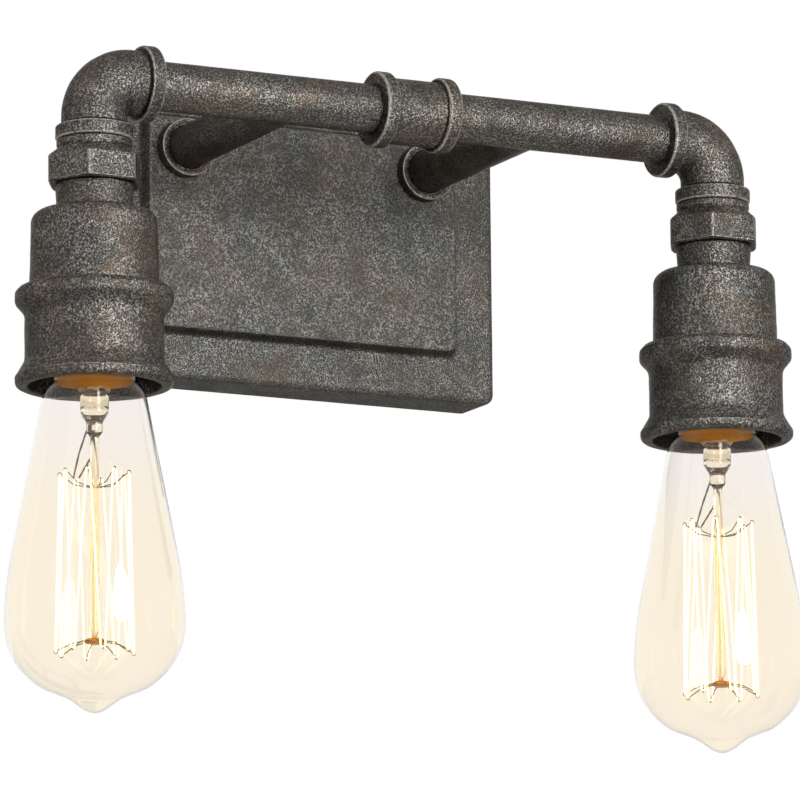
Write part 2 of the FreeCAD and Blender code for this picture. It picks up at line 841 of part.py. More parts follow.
def bulb_stem():
    """The inner glass: flare, tube, pinch and spine, with a button of glass at the spine's foot."""
    top = cap_joint + bulb_neck_end
    flare = cap_radius - thread_depth - cap_wall - running_gap
    tube = cup_foot - bulb_neck_end
    end = cup_foot - stem_length
    pinch = cup_foot - pinch_end
    button = cup_foot - spine_end
    r = stem_radius
    w = stem_wall
    outside = turned((0, top), (flare, top), (flare, cap_joint + w), ((r + 1.6, cap_joint - 1.4), (r, tube)),
                     (r, end), ((r - 0.6, end - 2.2), (pinch_radius, end - 3.6)), (pinch_radius, pinch + 1.4),
                     (spine_radius, pinch), (spine_radius, button + button_height / 2),
                     ((button_radius, button), (spine_radius, button - button_height / 2)),
                     (0, button - button_height / 2))
    hollow = turned((0, top), (flare - w, top), (flare - w, cap_joint + 2 * w),
                    ((r + 1.6 - w, cap_joint - 0.9), (r - w, tube)), (r - w, end), (0, end - w))
    return outside.cut(hollow)


def polar(radius, degrees, depth):
    """A point of the filament cage."""
    angle = math.radians(degrees)
    return V(radius * math.cos(angle), radius * math.sin(angle), cup_foot - depth)


strand_step = 180.0 / strand_pairs
strand_half = strand_gap / 2
last_strand = lead_angle + 360 - strand_gap


def bulb_filament():
    """One wire, laced up and down between the hooks as a cage."""
    points = [polar(cage_top_radius, lead_angle, cage_top)]
    for k in range(1, 2 * strand_pairs):
        angle = lead_angle + k * strand_step
        low = k % 2 == 1
        radius = cage_foot_radius if low else cage_top_radius
        depth = cage_foot if low else cage_top
        points.append(polar(radius, angle - strand_half, depth))
        points.append(polar(radius, angle + strand_half, depth))
    points.append(polar(cage_top_radius, last_strand, cage_top))
    return wire_along(points, [filament_bend] * (len(points) - 2), filament_radius)


def hook(radius, degrees, depth, root_radius, root_depth):
    """A support wire from the spine out to the cage, where its end turns under or over the filament."""
    gap = filament_radius + support_radius + thread_gap
    beyond = gap if root_depth < depth else -gap
    turn = depth + 1.5 * beyond
    points = [polar(root_radius, degrees, root_depth), polar(radius - 2 * gap, degrees, depth - 4 * beyond),
              polar(radius - gap, degrees, turn), polar(radius + gap, degrees, turn)]
    return wire_along(points, [gap / 2, gap / 2], support_radius)


def bulb_supports():
    """The hooked wires that hold the cage, above and below."""
    wires = []
    for k in range(1, 2 * strand_pairs):
        angle = lead_angle + k * strand_step
        if k % 2 == 1:
            wires.append(hook(cage_foot_radius, angle, cage_foot, button_radius + thread_gap, spine_end))
        else:
            wires.append(hook(cage_top_radius, angle, cage_top, spine_radius, cage_top + support_rise))
    return Part.makeCompound(wires)


def bulb_leads():
    """Two wires from the pinch to the ends of the filament."""
    gap = filament_radius + lead_radius + thread_gap
    leads = []
    for end, side in ((lead_angle, 1), (last_strand, -1)):
        spread = lead_angle + side * lead_spread
        points = [polar(pinch_radius + gap, spread, pinch_end - pinch_radius),
                  polar(pinch_radius + gap, spread, pinch_end),
                  polar(cage_top_radius, end + side * 2.0, cage_top - gap)]
        leads.append(wire_along(points, [2 * lead_radius], lead_radius))
    return Part.makeCompound(leads)


# ---- wiring ----

def nut_mouth(kind):
    return V(wire_nut_x[kind], wire_nut_y, wire_nut_z)


def lamp_wire(side, kind):
    """An insulated wire from a lampholder, through rod, elbow, crossbar and arm, to its wire nut."""
    sign = 1 if kind == "live" else -1
    shift = sign * wire_offset
    x_lamp = side * (lamp_x - shift)
    x_arm = side * (arm_x + shift)
    y_bar = bar_y + shift
    z_bar = bar_height - shift
    y_hole = bar_y + sign * terminal_offset
    z_turn = bar_height + (yoke_top - yoke_thickness + holder_top) / 2
    y_out = stud_end + wire_exit - 1.5 * shift
    mouth = nut_mouth(kind)
    x_nut = mouth.x + side * wire_pair
    x_hole = side * lamp_x
    points = [V(x_hole, y_hole, bar_height + holder_ceiling), V(x_hole, y_hole, z_turn - wire_turn),
              V(x_lamp, y_bar, z_turn + wire_turn),
              V(x_lamp, y_bar, z_bar), V(x_arm, y_bar, z_bar), V(x_arm, y_out, z_bar),
              V(x_arm - side * wire_step, y_out, wire_level[kind]),
              V(x_nut, mouth.y, mouth.z + wire_nut_hollow),
              V(x_nut, mouth.y, mouth.z - wire_nut_hollow + wire_radius)]
    bends = [wire_turn, wire_turn, wire_bend, wire_bend, wire_kink, wire_kink, wire_kink]
    return wire_along(points, bends, wire_radius)


def lamp_wires(kind):
    return Part.makeCompound([lamp_wire(side, kind) for _, side in SIDES])


def ground_wire():
    """A bare copper wire from under the ground screw's head to its wire nut."""
    mouth = nut_mouth("ground")
    x = ground_screw_x + ground_screw_radius + wire_radius + thread_gap
    y = -strap_thickness - wire_radius
    points = [V(x, y, ground_screw_z + wire_kink), V(x, y, ground_screw_z - 2 * wire_kink),
              V((x + mouth.x) / 2, (y + mouth.y) / 2, 0), V(mouth.x, mouth.y, mouth.z + wire_exit),
              V(mouth.x, mouth.y, mouth.z - wire_nut_hollow + wire_radius)]
    return wire_along(points, [wire_kink, wire_kink, wire_kink], wire_radius)


def wire_nuts():
    """The three twist-on connectors, mouth up."""
    r = wire_nut_radius
    length = wire_nut_length
    mouth = r - wire_nut_wall
    end = wire_pair + wire_radius + running_gap
    nut = turned((mouth, 0), (r, 0), (r, -3.0), (r - 0.6, -4.0), (r * 0.62, 1.0 - length), (r * 0.5, -length),
                 (0, -length), (0, -wire_nut_hollow), (end, -wire_nut_hollow))
    nuts = []
    for kind in wire_nut_x:
        placed = nut.copy()
        placed.translate(nut_mouth(kind))
        nuts.append(placed)
    return Part.makeCompound(nuts)


# ---- assembly ----

def pieces():
    """Every piece by its node name."""
    made = {
        "backplate": backplate(), "mounting_strap": mounting_strap(), "side_screws": side_screws(),
        "ground_screw": ground_screw(), "ground_wire": ground_wire(), "wire_nuts": wire_nuts(),
        "arm_washers": arm_washers(), "arm_locknuts": arm_locknuts(), "arm_bushings": arm_bushings(),
        "coupling": coupling(), "rod_locknuts": rod_locknuts(), "terminal_screws": terminal_screws(),
        "live_wires": lamp_wires("live"), "neutral_wires": lamp_wires("neutral"),
    }
    one_lamp = {
        "hex_bushing": hex_bushing(), "neck": neck(), "reducer": reducer(), "cup": cup(),
        "lamp_rod": lamp_rod(), "yoke": yoke(), "lampholder": lampholder(), "screw_shell": screw_shell(),
        "centre_contact": centre_contact(), "bulb_glass": bulb_envelope(), "bulb_cap": bulb_cap(),
        "bulb_insulator": bulb_insulator(), "bulb_contact": bulb_contact(), "bulb_stem": bulb_stem(),
        "bulb_filament": bulb_filament(), "bulb_supports": bulb_supports(), "bulb_leads": bulb_leads(),
    }
    corner = elbow()
    for name, side in SIDES:
        made["arm_flange_" + name] = arm_flange(side)
        made["arm_pipe_" + name] = arm_pipe(side)
        made["crossbar_pipe_" + name] = crossbar_pipe(side)
        made["elbow_" + name] = at_lamp(corner if side < 0 else mirrored(corner), side)
        for piece, shape in one_lamp.items():
            made[piece + "_" + name] = at_lamp(shape, side)
    return made


os.makedirs("parts", exist_ok=True)
nodes = pieces()
for name, shape in nodes.items():
    shape.exportStep("parts/" + name + ".step")
    state = "valid" if shape.isValid() else "BAD"
    print(name, len(shape.Solids), "solids", round(shape.Volume, 1), "mm3", state)
print(len(nodes), "nodes")
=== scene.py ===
import json
import bmesh
import bpy
from math import acos, atan2, ceil, cos, exp, hypot, pi, radians, sin, sqrt, tan
from mathutils import Matrix, Vector, noise
from mathutils.geometry import interpolate_bezier


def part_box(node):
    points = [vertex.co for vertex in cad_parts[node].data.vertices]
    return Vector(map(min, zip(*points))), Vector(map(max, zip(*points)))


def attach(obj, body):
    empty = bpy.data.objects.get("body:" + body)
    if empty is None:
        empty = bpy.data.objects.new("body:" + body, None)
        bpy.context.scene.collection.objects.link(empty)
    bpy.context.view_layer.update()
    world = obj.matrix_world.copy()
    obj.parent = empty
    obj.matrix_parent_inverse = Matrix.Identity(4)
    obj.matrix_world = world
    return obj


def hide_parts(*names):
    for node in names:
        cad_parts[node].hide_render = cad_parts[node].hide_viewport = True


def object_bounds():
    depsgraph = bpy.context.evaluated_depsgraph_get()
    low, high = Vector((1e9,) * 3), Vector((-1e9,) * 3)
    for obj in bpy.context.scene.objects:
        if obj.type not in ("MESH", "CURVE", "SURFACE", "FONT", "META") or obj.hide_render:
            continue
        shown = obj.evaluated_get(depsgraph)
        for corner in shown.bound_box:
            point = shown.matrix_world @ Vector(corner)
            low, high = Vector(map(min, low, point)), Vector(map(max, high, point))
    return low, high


# A two-lamp wall light of iron pipe fittings. Metres, X along the wall, Y into it, Z up.
# Sizes in the dictionaries are millimetres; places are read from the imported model.

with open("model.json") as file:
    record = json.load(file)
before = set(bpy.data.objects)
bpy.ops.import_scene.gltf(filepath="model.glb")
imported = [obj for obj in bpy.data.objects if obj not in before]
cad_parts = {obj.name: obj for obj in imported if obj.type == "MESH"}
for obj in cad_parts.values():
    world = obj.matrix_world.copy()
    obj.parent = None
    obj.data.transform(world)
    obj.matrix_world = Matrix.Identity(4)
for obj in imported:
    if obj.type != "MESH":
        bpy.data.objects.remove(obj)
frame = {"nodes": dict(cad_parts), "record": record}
cadLow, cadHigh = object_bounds()
nodes = frame["nodes"]
mm = 0.001
sides = (("left", 1), ("right", -1))  # the sign is the way from the lamp to the middle of the light
up = Vector((0, 0, 1))
alongWall = Vector((1, 0, 0))
outOfWall = Vector((0, -1, 0))
print("frame loaded:", len(nodes), "nodes")


def newObject(name, data):
    item = bpy.data.objects.new(name, data)
    bpy.context.scene.collection.objects.link(item)
    return item


# camera: the photograph was taken from the left and from below, with a long lens

view = {"place": (-1.1402, -2.3532, -0.5661), "azimuth": 26.896, "tilt": 10.972, "roll": -0.542,
        "lens": 317.3, "sensor": 36.0}


def aimCamera():
    azimuth, tilt, roll = (radians(view[key]) for key in ("azimuth", "tilt", "roll"))
    ahead = Vector((sin(azimuth) * cos(tilt), cos(azimuth) * cos(tilt), sin(tilt)))
    level = Vector((cos(azimuth), -sin(azimuth), 0))
    right = level * cos(roll) + level.cross(ahead) * sin(roll)
    above = right.cross(ahead)
    turned = Matrix((right, above, -ahead)).transposed().to_4x4()
    camera = newObject("camera", bpy.data.cameras.new("camera"))
    camera.data.lens = view["lens"]
    camera.data.sensor_width = view["sensor"]
    camera.matrix_world = Matrix.Translation(view["place"]) @ turned
    bpy.context.scene.camera = camera
    return ahead, right, above


ahead, right, above = aimCamera()
print("camera set")


# nodes and colours

def hexColour(code):
    # sRGB hex to the linear values that a socket takes
    channels = [int(code[k:k + 2], 16) / 255 for k in (1, 3, 5)]
    linear = [c / 12.92 if c <= 0.04045 else ((c + 0.055) / 1.055) ** 2.4 for c in channels]
    return (*linear, 1.0)


def addNode(tree, kind, inputs=None, **settings):
    # a node or a socket among the inputs is linked, and any other value is set
    node = tree.nodes.new(kind)
    for key, value in settings.items():
        setattr(node, key, value)
    for key, value in (inputs or {}).items():
        if isinstance(value, bpy.types.Node):
            value = value.outputs[0]
        if isinstance(value, bpy.types.NodeSocket):
            tree.links.new(value, node.inputs[key])
        else:
            node.inputs[key].default_value = value
    return node


def newMaterial(name):
    material = bpy.data.materials.new(name)
    material.use_nodes = True
    material.node_tree.nodes.clear()
    return material, material.node_tree


# studio: a white surround, one soft key from the front right, a weaker fill from the left. Lamp places are
# shares of the camera's right and up, and metres from the middle of the light.

studio = {"surround": 0.24, "white": "#ffffff",
          "floorDrop": 2.0, "floorSize": 60.0, "floorColour": "#f1f0ee", "floorRoughness": 0.9, "floorLift": 0.5,
          "key": {"power": 30.0, "size": (0.7, 1.0), "distance": 1.7, "right": 0.66, "up": 0.3},
          "fill": {"power": 2.0, "size": (1.2, 1.2), "distance": 2.0, "right": -0.9, "up": 0.7}}


def seenBackground(tree):
    # 1 for what the camera sees directly, mirrored or through glass
    rays = addNode(tree, "ShaderNodeLightPath")
    seen = rays.outputs["Is Camera Ray"]
    for kind in ("Is Glossy Ray", "Is Transmission Ray"):
        seen = addNode(tree, "ShaderNodeMath", {0: seen, 1: rays.outputs[kind]}, operation="MAXIMUM")
    return seen


def buildSurround():
    world = bpy.data.worlds.new("studio")
    world.use_nodes = True
    tree = world.node_tree
    tree.nodes.clear()
    seen = seenBackground(tree)
    strength = addNode(tree, "ShaderNodeMapRange", {"Value": seen, "To Min": studio["surround"], "To Max": 1.0})
    back = addNode(tree, "ShaderNodeBackground", {"Color": hexColour(studio["white"]), "Strength": strength})
    addNode(tree, "ShaderNodeOutputWorld", {"Surface": back})
    bpy.context.scene.world = world
    bpy.context.scene.view_settings.view_transform = "Standard"


def buildFloor():
    half = studio["floorSize"] / 2
    mesh = bpy.data.meshes.new("floor")
    mesh.from_pydata([(-half, -half, 0), (half, -half, 0), (half, half, 0), (-half, half, 0)], [], [(0, 1, 2, 3)])
    floor = newObject("floor", mesh)
    floor.location = (0, 0, -studio["floorDrop"])
    material, tree = newMaterial("studio_floor")
    lift = addNode(tree, "ShaderNodeMapRange", {"Value": seenBackground(tree), "To Max": studio["floorLift"]})
    paint = addNode(tree, "ShaderNodeBsdfPrincipled", {
        "Base Color": hexColour(studio["floorColour"]), "Roughness": studio["floorRoughness"],
        "Emission Color": hexColour(studio["white"]), "Emission Strength": lift})
    # from below the floor is clear, so that a low view sees the light
    under = addNode(tree, "ShaderNodeNewGeometry").outputs["Backfacing"]
    clear = addNode(tree, "ShaderNodeBsdfTransparent")
    oneSided = addNode(tree, "ShaderNodeMixShader", {0: under, 1: paint, 2: clear})
    addNode(tree, "ShaderNodeOutputMaterial", {"Surface": oneSided})
    floor.data.materials.append(material)


def addLamp(name):
    # an oval soft box that faces the middle of the light
    box = studio[name]
    middle = (cadLow + cadHigh) / 2
    toward = (-ahead + right * box["right"] + above * box["up"]).normalized()
    lamp = newObject(name, bpy.data.lights.new(name, "AREA"))
    lamp.data.energy = box["power"]
    lamp.data.shape = "ELLIPSE"
    lamp.data.size, lamp.data.size_y = box["size"]
    lamp.location = middle + toward * box["distance"]
    lamp.rotation_euler = (middle - lamp.location).to_track_quat("-Z", "Y").to_euler()


buildSurround()
buildFloor()
addLamp("key")
addLamp("fill")
print("studio built")


# Grey iron, sand cast, blackened and rubbed with pewter wax: a dark brown-grey ground, a dense fine sparkle
# where light strikes, rusty patches, painted shade in the hollows and thin bright lines on worn edges. A width is
# one light and one dark patch together. The wax's real specks, of about 0.4 mm, are too fine to show and drawn at
# 1 mm.

castLook = {"ground": "#3a3935", "patch": "#463e37", "patchWidth": 36.0, "patchShare": 0.6,
            "rust": "#5e4937", "rustWidth": 50.0, "rustShare": 0.45,
            "speck": "#bcbbb6", "speckWidth": 1.15, "speckShare": 0.6, "waxFieldWidth": 15.0,
            "worn": "#cbc6bb", "wornFrom": 0.3, "wornShare": 0.7, "brokenWidth": 2.5,
            "hollow": "#121110", "hollowShare": 0.9, "metallic": 0.7, "roughness": 0.32,
            "gloss": 0.2, "glossTint": "#95908c", "grainDepth": 0.5, "lumpWidth": 6.0, "lumpDepth": 0.4}
# Steel pipe, drawn, under the same finish: the grain is finer and the ground a little smoother.
pipeLook = dict(castLook, grainDepth=0.42, lumpDepth=0.35)
# Steel sheet, pressed, under the same finish: an even mid grey with finer specks and fewer rusty patches.
plateLook = dict(castLook, ground="#3b3b38", patchShare=0.4, rustShare=0.2, grainDepth=0.38, speckShare=0.5,
                 lumpDepth=0.25, roughness=0.42, speckWidth=1.0)
# each noise's detail and seed shift, and the values from which a layer starts and is full
ironNoise = {"patch": (4.0, 0), "rust": (5.0, 7), "speck": (2.0, 0), "waxField": (3.0, 3), "broken": (3.0, 5),
             "lump": (3.0, 9)}
ironLevels = {"patch": (0.42, 0.62), "rust": (0.5, 0.68), "speck": (0.46, 0.7), "waxField": (0.2, 0.62),
              "broken": (0.32, 0.52)}
octaveShare = 0.55  # how much each finer octave of a noise adds


def noiseScale(width):
    # the scale at which one light and one dark patch of a noise take that many mm
    return 1.7 / (width * mm)


def agedIron(name, look, seed):
    material, tree = newMaterial(name)
    place = addNode(tree, "ShaderNodeTexCoord").outputs["Object"]
    edge = addNode(tree, "ShaderNodeAttribute", attribute_name="edgeWearAndShade").outputs["Fac"]
    pattern = {}
    for layer, (detail, shift) in ironNoise.items():
        pattern[layer] = addNode(tree, "ShaderNodeTexNoise", {
            "Vector": place, "W": seed + shift, "Scale": noiseScale(look[layer + "Width"]), "Detail": detail,
            "Roughness": octaveShare}, noise_dimensions="4D")
    levels = {layer: (pattern[layer], low, high) for layer, (low, high) in ironLevels.items()}
    levels["worn"] = (edge, look["wornFrom"], 1.0)
    # painted shade: where the attribute is negative, on inner roundings and inside the elbows' bends, the colour
    # darkens toward near black
    levels["hollow"] = (edge, 0.0, -1.0)
    mask = {}
    for layer, (value, low, high) in levels.items():
        mask[layer] = addNode(tree, "ShaderNodeMapRange", {
            "Value": value, "From Min": low, "From Max": high, "To Max": look.get(layer + "Share", 1.0)})
    # the wax lies in fields, and the worn edges are broken
    for layer, within in (("speck", "waxField"), ("worn", "broken")):
        mask[layer] = addNode(tree, "ShaderNodeMath", {0: mask[layer], 1: mask[within]}, operation="MULTIPLY")
    colour = hexColour(look["ground"])
    for layer in ("patch", "rust", "speck", "worn", "hollow"):
        colour = addNode(tree, "ShaderNodeMixRGB", {
            "Fac": mask[layer], "Color1": colour, "Color2": hexColour(look[layer])})
    coarse = addNode(tree, "ShaderNodeBump", {
        "Height": pattern["lump"], "Strength": 1.0, "Distance": look["lumpDepth"] * mm})
    fine = addNode(tree, "ShaderNodeBump", {
        "Height": pattern["speck"], "Strength": 1.0, "Distance": look["grainDepth"] * mm, "Normal": coarse})
    shader = addNode(tree, "ShaderNodeBsdfPrincipled", {
        "Base Color": colour, "Metallic": look["metallic"], "Roughness": look["roughness"],
        "Specular IOR Level": look["gloss"], "Specular Tint": hexColour(look["glossTint"]), "Normal": fine})
    addNode(tree, "ShaderNodeOutputMaterial", {"Surface": shader})
    return material


def evenFinish(name, colour, roughness, metallic=0.0, grainWidth=2.0, grainDepth=0.02, spread=0.24):
    # a moulded, drawn or plated part: its tone, gloss and surface vary faintly over the same grain
    material, tree = newMaterial(name)
    place = addNode(tree, "ShaderNodeTexCoord").outputs["Object"]
    grain = addNode(tree, "ShaderNodeTexNoise", {
        "Vector": place, "W": 0.0, "Scale": noiseScale(grainWidth), "Detail": 4.0, "Roughness": octaveShare},
        noise_dimensions="4D")
    base = hexColour(colour)
    dark = (*(c * (1 - spread) for c in base[:3]), 1.0)
    share = addNode(tree, "ShaderNodeMapRange", {"Value": grain, "From Min": 0.35, "From Max": 0.65})
    tone = addNode(tree, "ShaderNodeMixRGB", {"Fac": share, "Color1": dark, "Color2": base})
    rough = addNode(tree, "ShaderNodeMapRange", {
        "Value": grain, "From Min": 0.3, "From Max": 0.7, "To Min": roughness - 0.06, "To Max": roughness + 0.06})
    bump = addNode(tree, "ShaderNodeBump", {"Height": grain, "Strength": 1.0, "Distance": grainDepth * mm})
    shader = addNode(tree, "ShaderNodeBsdfPrincipled", {
        "Base Color": tone, "Roughness": rough, "Metallic": metallic, "Normal": bump})
    addNode(tree, "ShaderNodeOutputMaterial", {"Surface": shader})
    return material


# fadeNeck and fadeBelly are heights in the model, between which the envelope's tint comes in
glassLook = {"rippleWidth": 16.0, "rippleDepth": 0.02, "fadeNeck": -92.0, "fadeBelly": -128.0,
             "sealRoughness": 0.65}


def clearGlass(name, tint, roughness, ior, second, sealed=False):
    # faint ripples, as blowing leaves them. An envelope's tint fades to the second one toward its neck. A sealed
    # piece has the second tint where its mesh attribute amber is 1, and is opaque there from the heat.
    material, tree = newMaterial(name)
    place = addNode(tree, "ShaderNodeTexCoord").outputs["Object"]
    ripple = addNode(tree, "ShaderNodeTexNoise", {
        "Vector": place, "W": 0.0, "Scale": noiseScale(glassLook["rippleWidth"]), "Detail": 1.0,
        "Roughness": octaveShare}, noise_dimensions="4D")
    bump = addNode(tree, "ShaderNodeBump", {
        "Height": ripple, "Strength": 1.0, "Distance": glassLook["rippleDepth"] * mm})
    inputs = {"Roughness": roughness, "IOR": ior, "Transmission Weight": 1.0, "Normal": bump}
    if sealed:
        share = addNode(tree, "ShaderNodeAttribute", attribute_name="amber").outputs["Fac"]
        for socket, clear, opaque in (("Transmission Weight", 1.0, 0.0),
                                      ("Roughness", roughness, glassLook["sealRoughness"])):
            inputs[socket] = addNode(tree, "ShaderNodeMapRange", {
                "Value": share, "To Min": clear, "To Max": opaque})
    else:
        height = addNode(tree, "ShaderNodeSeparateXYZ", {"Vector": place}).outputs["Z"]
        share = addNode(tree, "ShaderNodeMapRange", {
            "Value": height, "From Min": glassLook["fadeBelly"] * mm, "From Max": glassLook["fadeNeck"] * mm})
    inputs["Base Color"] = addNode(tree, "ShaderNodeMixRGB", {
        "Fac": share, "Color1": hexColour(tint), "Color2": hexColour(second)})
    shader = addNode(tree, "ShaderNodeBsdfPrincipled", inputs)
    addNode(tree, "ShaderNodeOutputMaterial", {"Surface": shader})
    return material


def glowingWire(name, colour, cooler, strength, heatWidth=9.0):
    # a little cooler here and there along the wire
    material, tree = newMaterial(name)
    place = addNode(tree, "ShaderNodeTexCoord").outputs["Object"]
    heat = addNode(tree, "ShaderNodeTexNoise", {
        "Vector": place, "W": 0.0, "Scale": noiseScale(heatWidth), "Detail": 2.0, "Roughness": octaveShare},
        noise_dimensions="4D")
    share = addNode(tree, "ShaderNodeMapRange", {"Value": heat, "From Min": 0.35, "From Max": 0.65})
    glow = addNode(tree, "ShaderNodeMixRGB", {
        "Fac": share, "Color1": hexColour(cooler), "Color2": hexColour(colour)})
    shader = addNode(tree, "ShaderNodeBsdfPrincipled", {
        "Base Color": glow, "Roughness": 0.6, "Emission Color": glow, "Emission Strength": strength})
    addNode(tree, "ShaderNodeOutputMaterial", {"Surface": shader})
    return material


finish = {
    "aged_iron": agedIron("cast_iron_rubbed_pewter", castLook, 1.0),
    "aged_pipe": agedIron("drawn_pipe_rubbed_pewter", pipeLook, 4.0),
    "aged_iron_plate": agedIron("pressed_plate_rubbed_pewter", plateLook, 9.0),
    # mild steel, rolled and zinc plated: cool pale grey, softly mirrored
    "zinc_steel": evenFinish("zinc_plated_steel", "#b4b6b8", 0.38, metallic=1.0, grainWidth=6.0),
    # steel screws, turned and blacked: near black with a dull gleam
    "dark_screws": evenFinish("blacked_steel", "#2e2c2a", 0.45, metallic=0.8, grainWidth=1.5),
    # steel screw, passivated green for earth: a half-metallic green
    "green_screw": evenFinish("green_passivated_steel", "#2f7d46", 0.4, metallic=0.5, grainWidth=1.5),
    # soft copper wire, drawn and bare: red brown, a little tarnished
    "bare_copper": evenFinish("bare_copper", "#b9714b", 0.35, metallic=1.0, grainWidth=3.0),
    # nylon, injection moulded: satin orange connectors and black grommets
    "wire_nut_plastic": evenFinish("moulded_nylon_orange", "#d9762e", 0.45),
    "grommet_plastic": evenFinish("moulded_nylon_black", "#232323", 0.5),
    # PVC insulation, extruded: satin
    "black_insulation": evenFinish("pvc_insulation_black", "#1f1f20", 0.42),
    "white_insulation": evenFinish("pvc_insulation_white", "#e6e3da", 0.42),
    # electrical porcelain, glazed: clean white with a gloss
    "porcelain": evenFinish("glazed_porcelain", "#eeebe2", 0.16, grainWidth=8.0, spread=0.08),
    # brass, deep drawn and rolled to a thread: yellow and bright
    "shell_brass": evenFinish("drawn_brass", "#c9a04a", 0.3, metallic=1.0, grainWidth=4.0),
    "cap_brass": evenFinish("stamped_brass", "#c8963c", 0.3, metallic=1.0, grainWidth=4.0),
    # black glass, fused into the cap: glossy
    "black_glass": evenFinish("black_vitrite_glass", "#17151a", 0.15),
    # tin solder, set in a drop: pale and softly mirrored
    "solder": evenFinish("tin_solder", "#a8a9aa", 0.4, metallic=1.0, grainWidth=1.0),
    # soda-lime glass, blown thin, with a faint amber flash: almost clear. Its wall is a thin skin here, so its
    # IOR is below glass's 1.5, which would darken the edges more than the photograph shows.
    "bulb_glass": clearGlass("blown_glass_amber_flash", "#fdf7ec", 0.0, 1.3, "#faf7f5"),
    # lead glass, drawn and pinched while hot: clear, and brown where it is sealed
    "stem_glass": clearGlass("lead_glass_stem", "#fdf6e2", 0.03, 1.45, "#b4740f", sealed=True),
    # carbonised filament, glowing warm white
    "glowing_filament": glowingWire("incandescent_filament", "#ffe2a4", "#ffd584", 4.2),
    # nickel wire, drawn: a thin warm grey line
    "support_wire": evenFinish("nickel_wire", "#7d766b", 0.35, metallic=1.0, grainWidth=1.5),
}


def dressNodes():
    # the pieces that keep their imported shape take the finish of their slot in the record
    for piece in frame["record"]["subparts"]:
        item = nodes[piece["node"]]
        item.data.materials.clear()
        item.data.materials.append(finish[piece["material_slot"]])


dressNodes()
print("materials made:", len(finish))


# shapes: a closed outline is turned or swept into a skin of even quads

skin = {"weld": 0.002, "straight": 0.02, "leastParts": 4, "arcShare": 0.6}  # arcs take finer steps than flats


def roundedOutline(corners, step, closed=True):
    # corners are (radius, height, rounding, share) in mm round a section: a share of wear on an outer rounding
    # and of painted shade on an inner one. The result is a list of (radius, height, value): wear is 1 in the
    # middle of an outer rounding, and painted shade is -1 in the middle of an inner one.
    count = len(corners)
    area = sum(corners[k - 1][0] * corners[k][1] - corners[k][0] * corners[k - 1][1] for k in range(count))
    points = []
    for k, (radius, height, rounding, *share) in enumerate(corners):
        here = Vector((radius, height))
        into = (here - Vector(corners[k - 1][:2])).normalized()
        out = (Vector(corners[(k + 1) % count][:2]) - here).normalized()
        turn = atan2(into.x * out.y - into.y * out.x, into.dot(out))
        if rounding == 0 or abs(turn) < skin["straight"]:
            points.append((radius, height, 0.0))
            continue
        start = here - into * rounding * tan(abs(turn) / 2)
        centre = here + (out - into).normalized() * rounding / cos(turn / 2)
        # an outer rounding gets wear, and an inner one gets painted shade as a negative value
        outer = (1.0 if turn * area > 0 else -1.0) * (share[0] if share else 1.0)
        parts = max(skin["leastParts"], ceil(abs(turn) * rounding / (step * skin["arcShare"])))
        for part in range(parts + 1):
            spoke = start - centre
            spoke.rotate(Matrix.Rotation(turn * part / parts, 2))
            points.append((centre.x + spoke.x, centre.y + spoke.y, outer * sin(pi * part / parts)))
    filled = []
    for k, (radius, height, edge) in enumerate(points):
        filled.append((radius, height, edge))
        if k == len(points) - 1 and not closed:
            break
        nextRadius, nextHeight, _ = points[(k + 1) % len(points)]
        pieces = ceil(hypot(nextRadius - radius, nextHeight - height) / step)
        for part in range(1, pieces):
            along = part / pieces
            filled.append((radius + (nextRadius - radius) * along, height + (nextHeight - height) * along, 0.0))
    return filled


def makeObject(name, verts, faces, wearAndShade):
    # verts are in mm
    mesh = bpy.data.meshes.new(name)
    mesh.from_pydata([vert * mm for vert in verts], [], faces)
    # the attribute holds wear where positive and painted shade where negative
    mesh.attributes.new("edgeWearAndShade", "FLOAT", "POINT").data.foreach_set("value", wearAndShade)
    work = bmesh.new()
    work.from_mesh(mesh)
    bmesh.ops.remove_doubles(work, verts=work.verts, dist=skin["weld"] * mm)
    loose = [edge for edge in work.edges if not edge.link_faces]
    bmesh.ops.delete(work, geom=loose, context="EDGES")
    bmesh.ops.recalc_face_normals(work, faces=work.faces)
    work.to_mesh(mesh)
    work.free()
    mesh.shade_smooth()
    return newObject(name, mesh)


def ringSkin(name, outline, place, count):
    # place(radius, height, angle, wear) gives a point in mm and its value of wear, which is painted shade where
    # negative
    verts = []
    wearAndShade = []
    for radius, height, edge in outline:
        for turn in range(count):
            spot, worn = place(radius, height, 2 * pi * turn / count, edge)
            verts.append(spot)
            wearAndShade.append(worn)
    faces = []
    for ring in range(len(outline)):
        after = (ring + 1) % len(outline)
        if outline[ring][0] < 1e-6 and outline[after][0] < 1e-6:
            continue  # both rings are points on the axis
        low = ring * count
        high = after * count
        for turn in range(count):
            beside = (turn + 1) % count
            faces.append((low + turn, low + beside, high + beside, high + turn))
    return makeObject(name, verts, faces, wearAndShade)


def aboutAxis(origin, axis):
    # turns an outline about a line: heights are measured along the axis from the origin
    first = up if axis.x > 0.5 else alongWall
    second = axis.cross(first)

    def place(radius, height, angle, wearAndShade):
        spoke = first * cos(angle) + second * sin(angle)
        return origin + axis * height + spoke * radius, wearAndShade
    return place


castSurface = {"lumpWidth": 7.0, "lumpDepth": 0.22, "pitWidth": 1.8, "pitDepth": 0.08}
drawnSurface = {"lumpWidth": 14.0, "lumpDepth": 0.08, "pitWidth": 1.6, "pitDepth": 0.05}


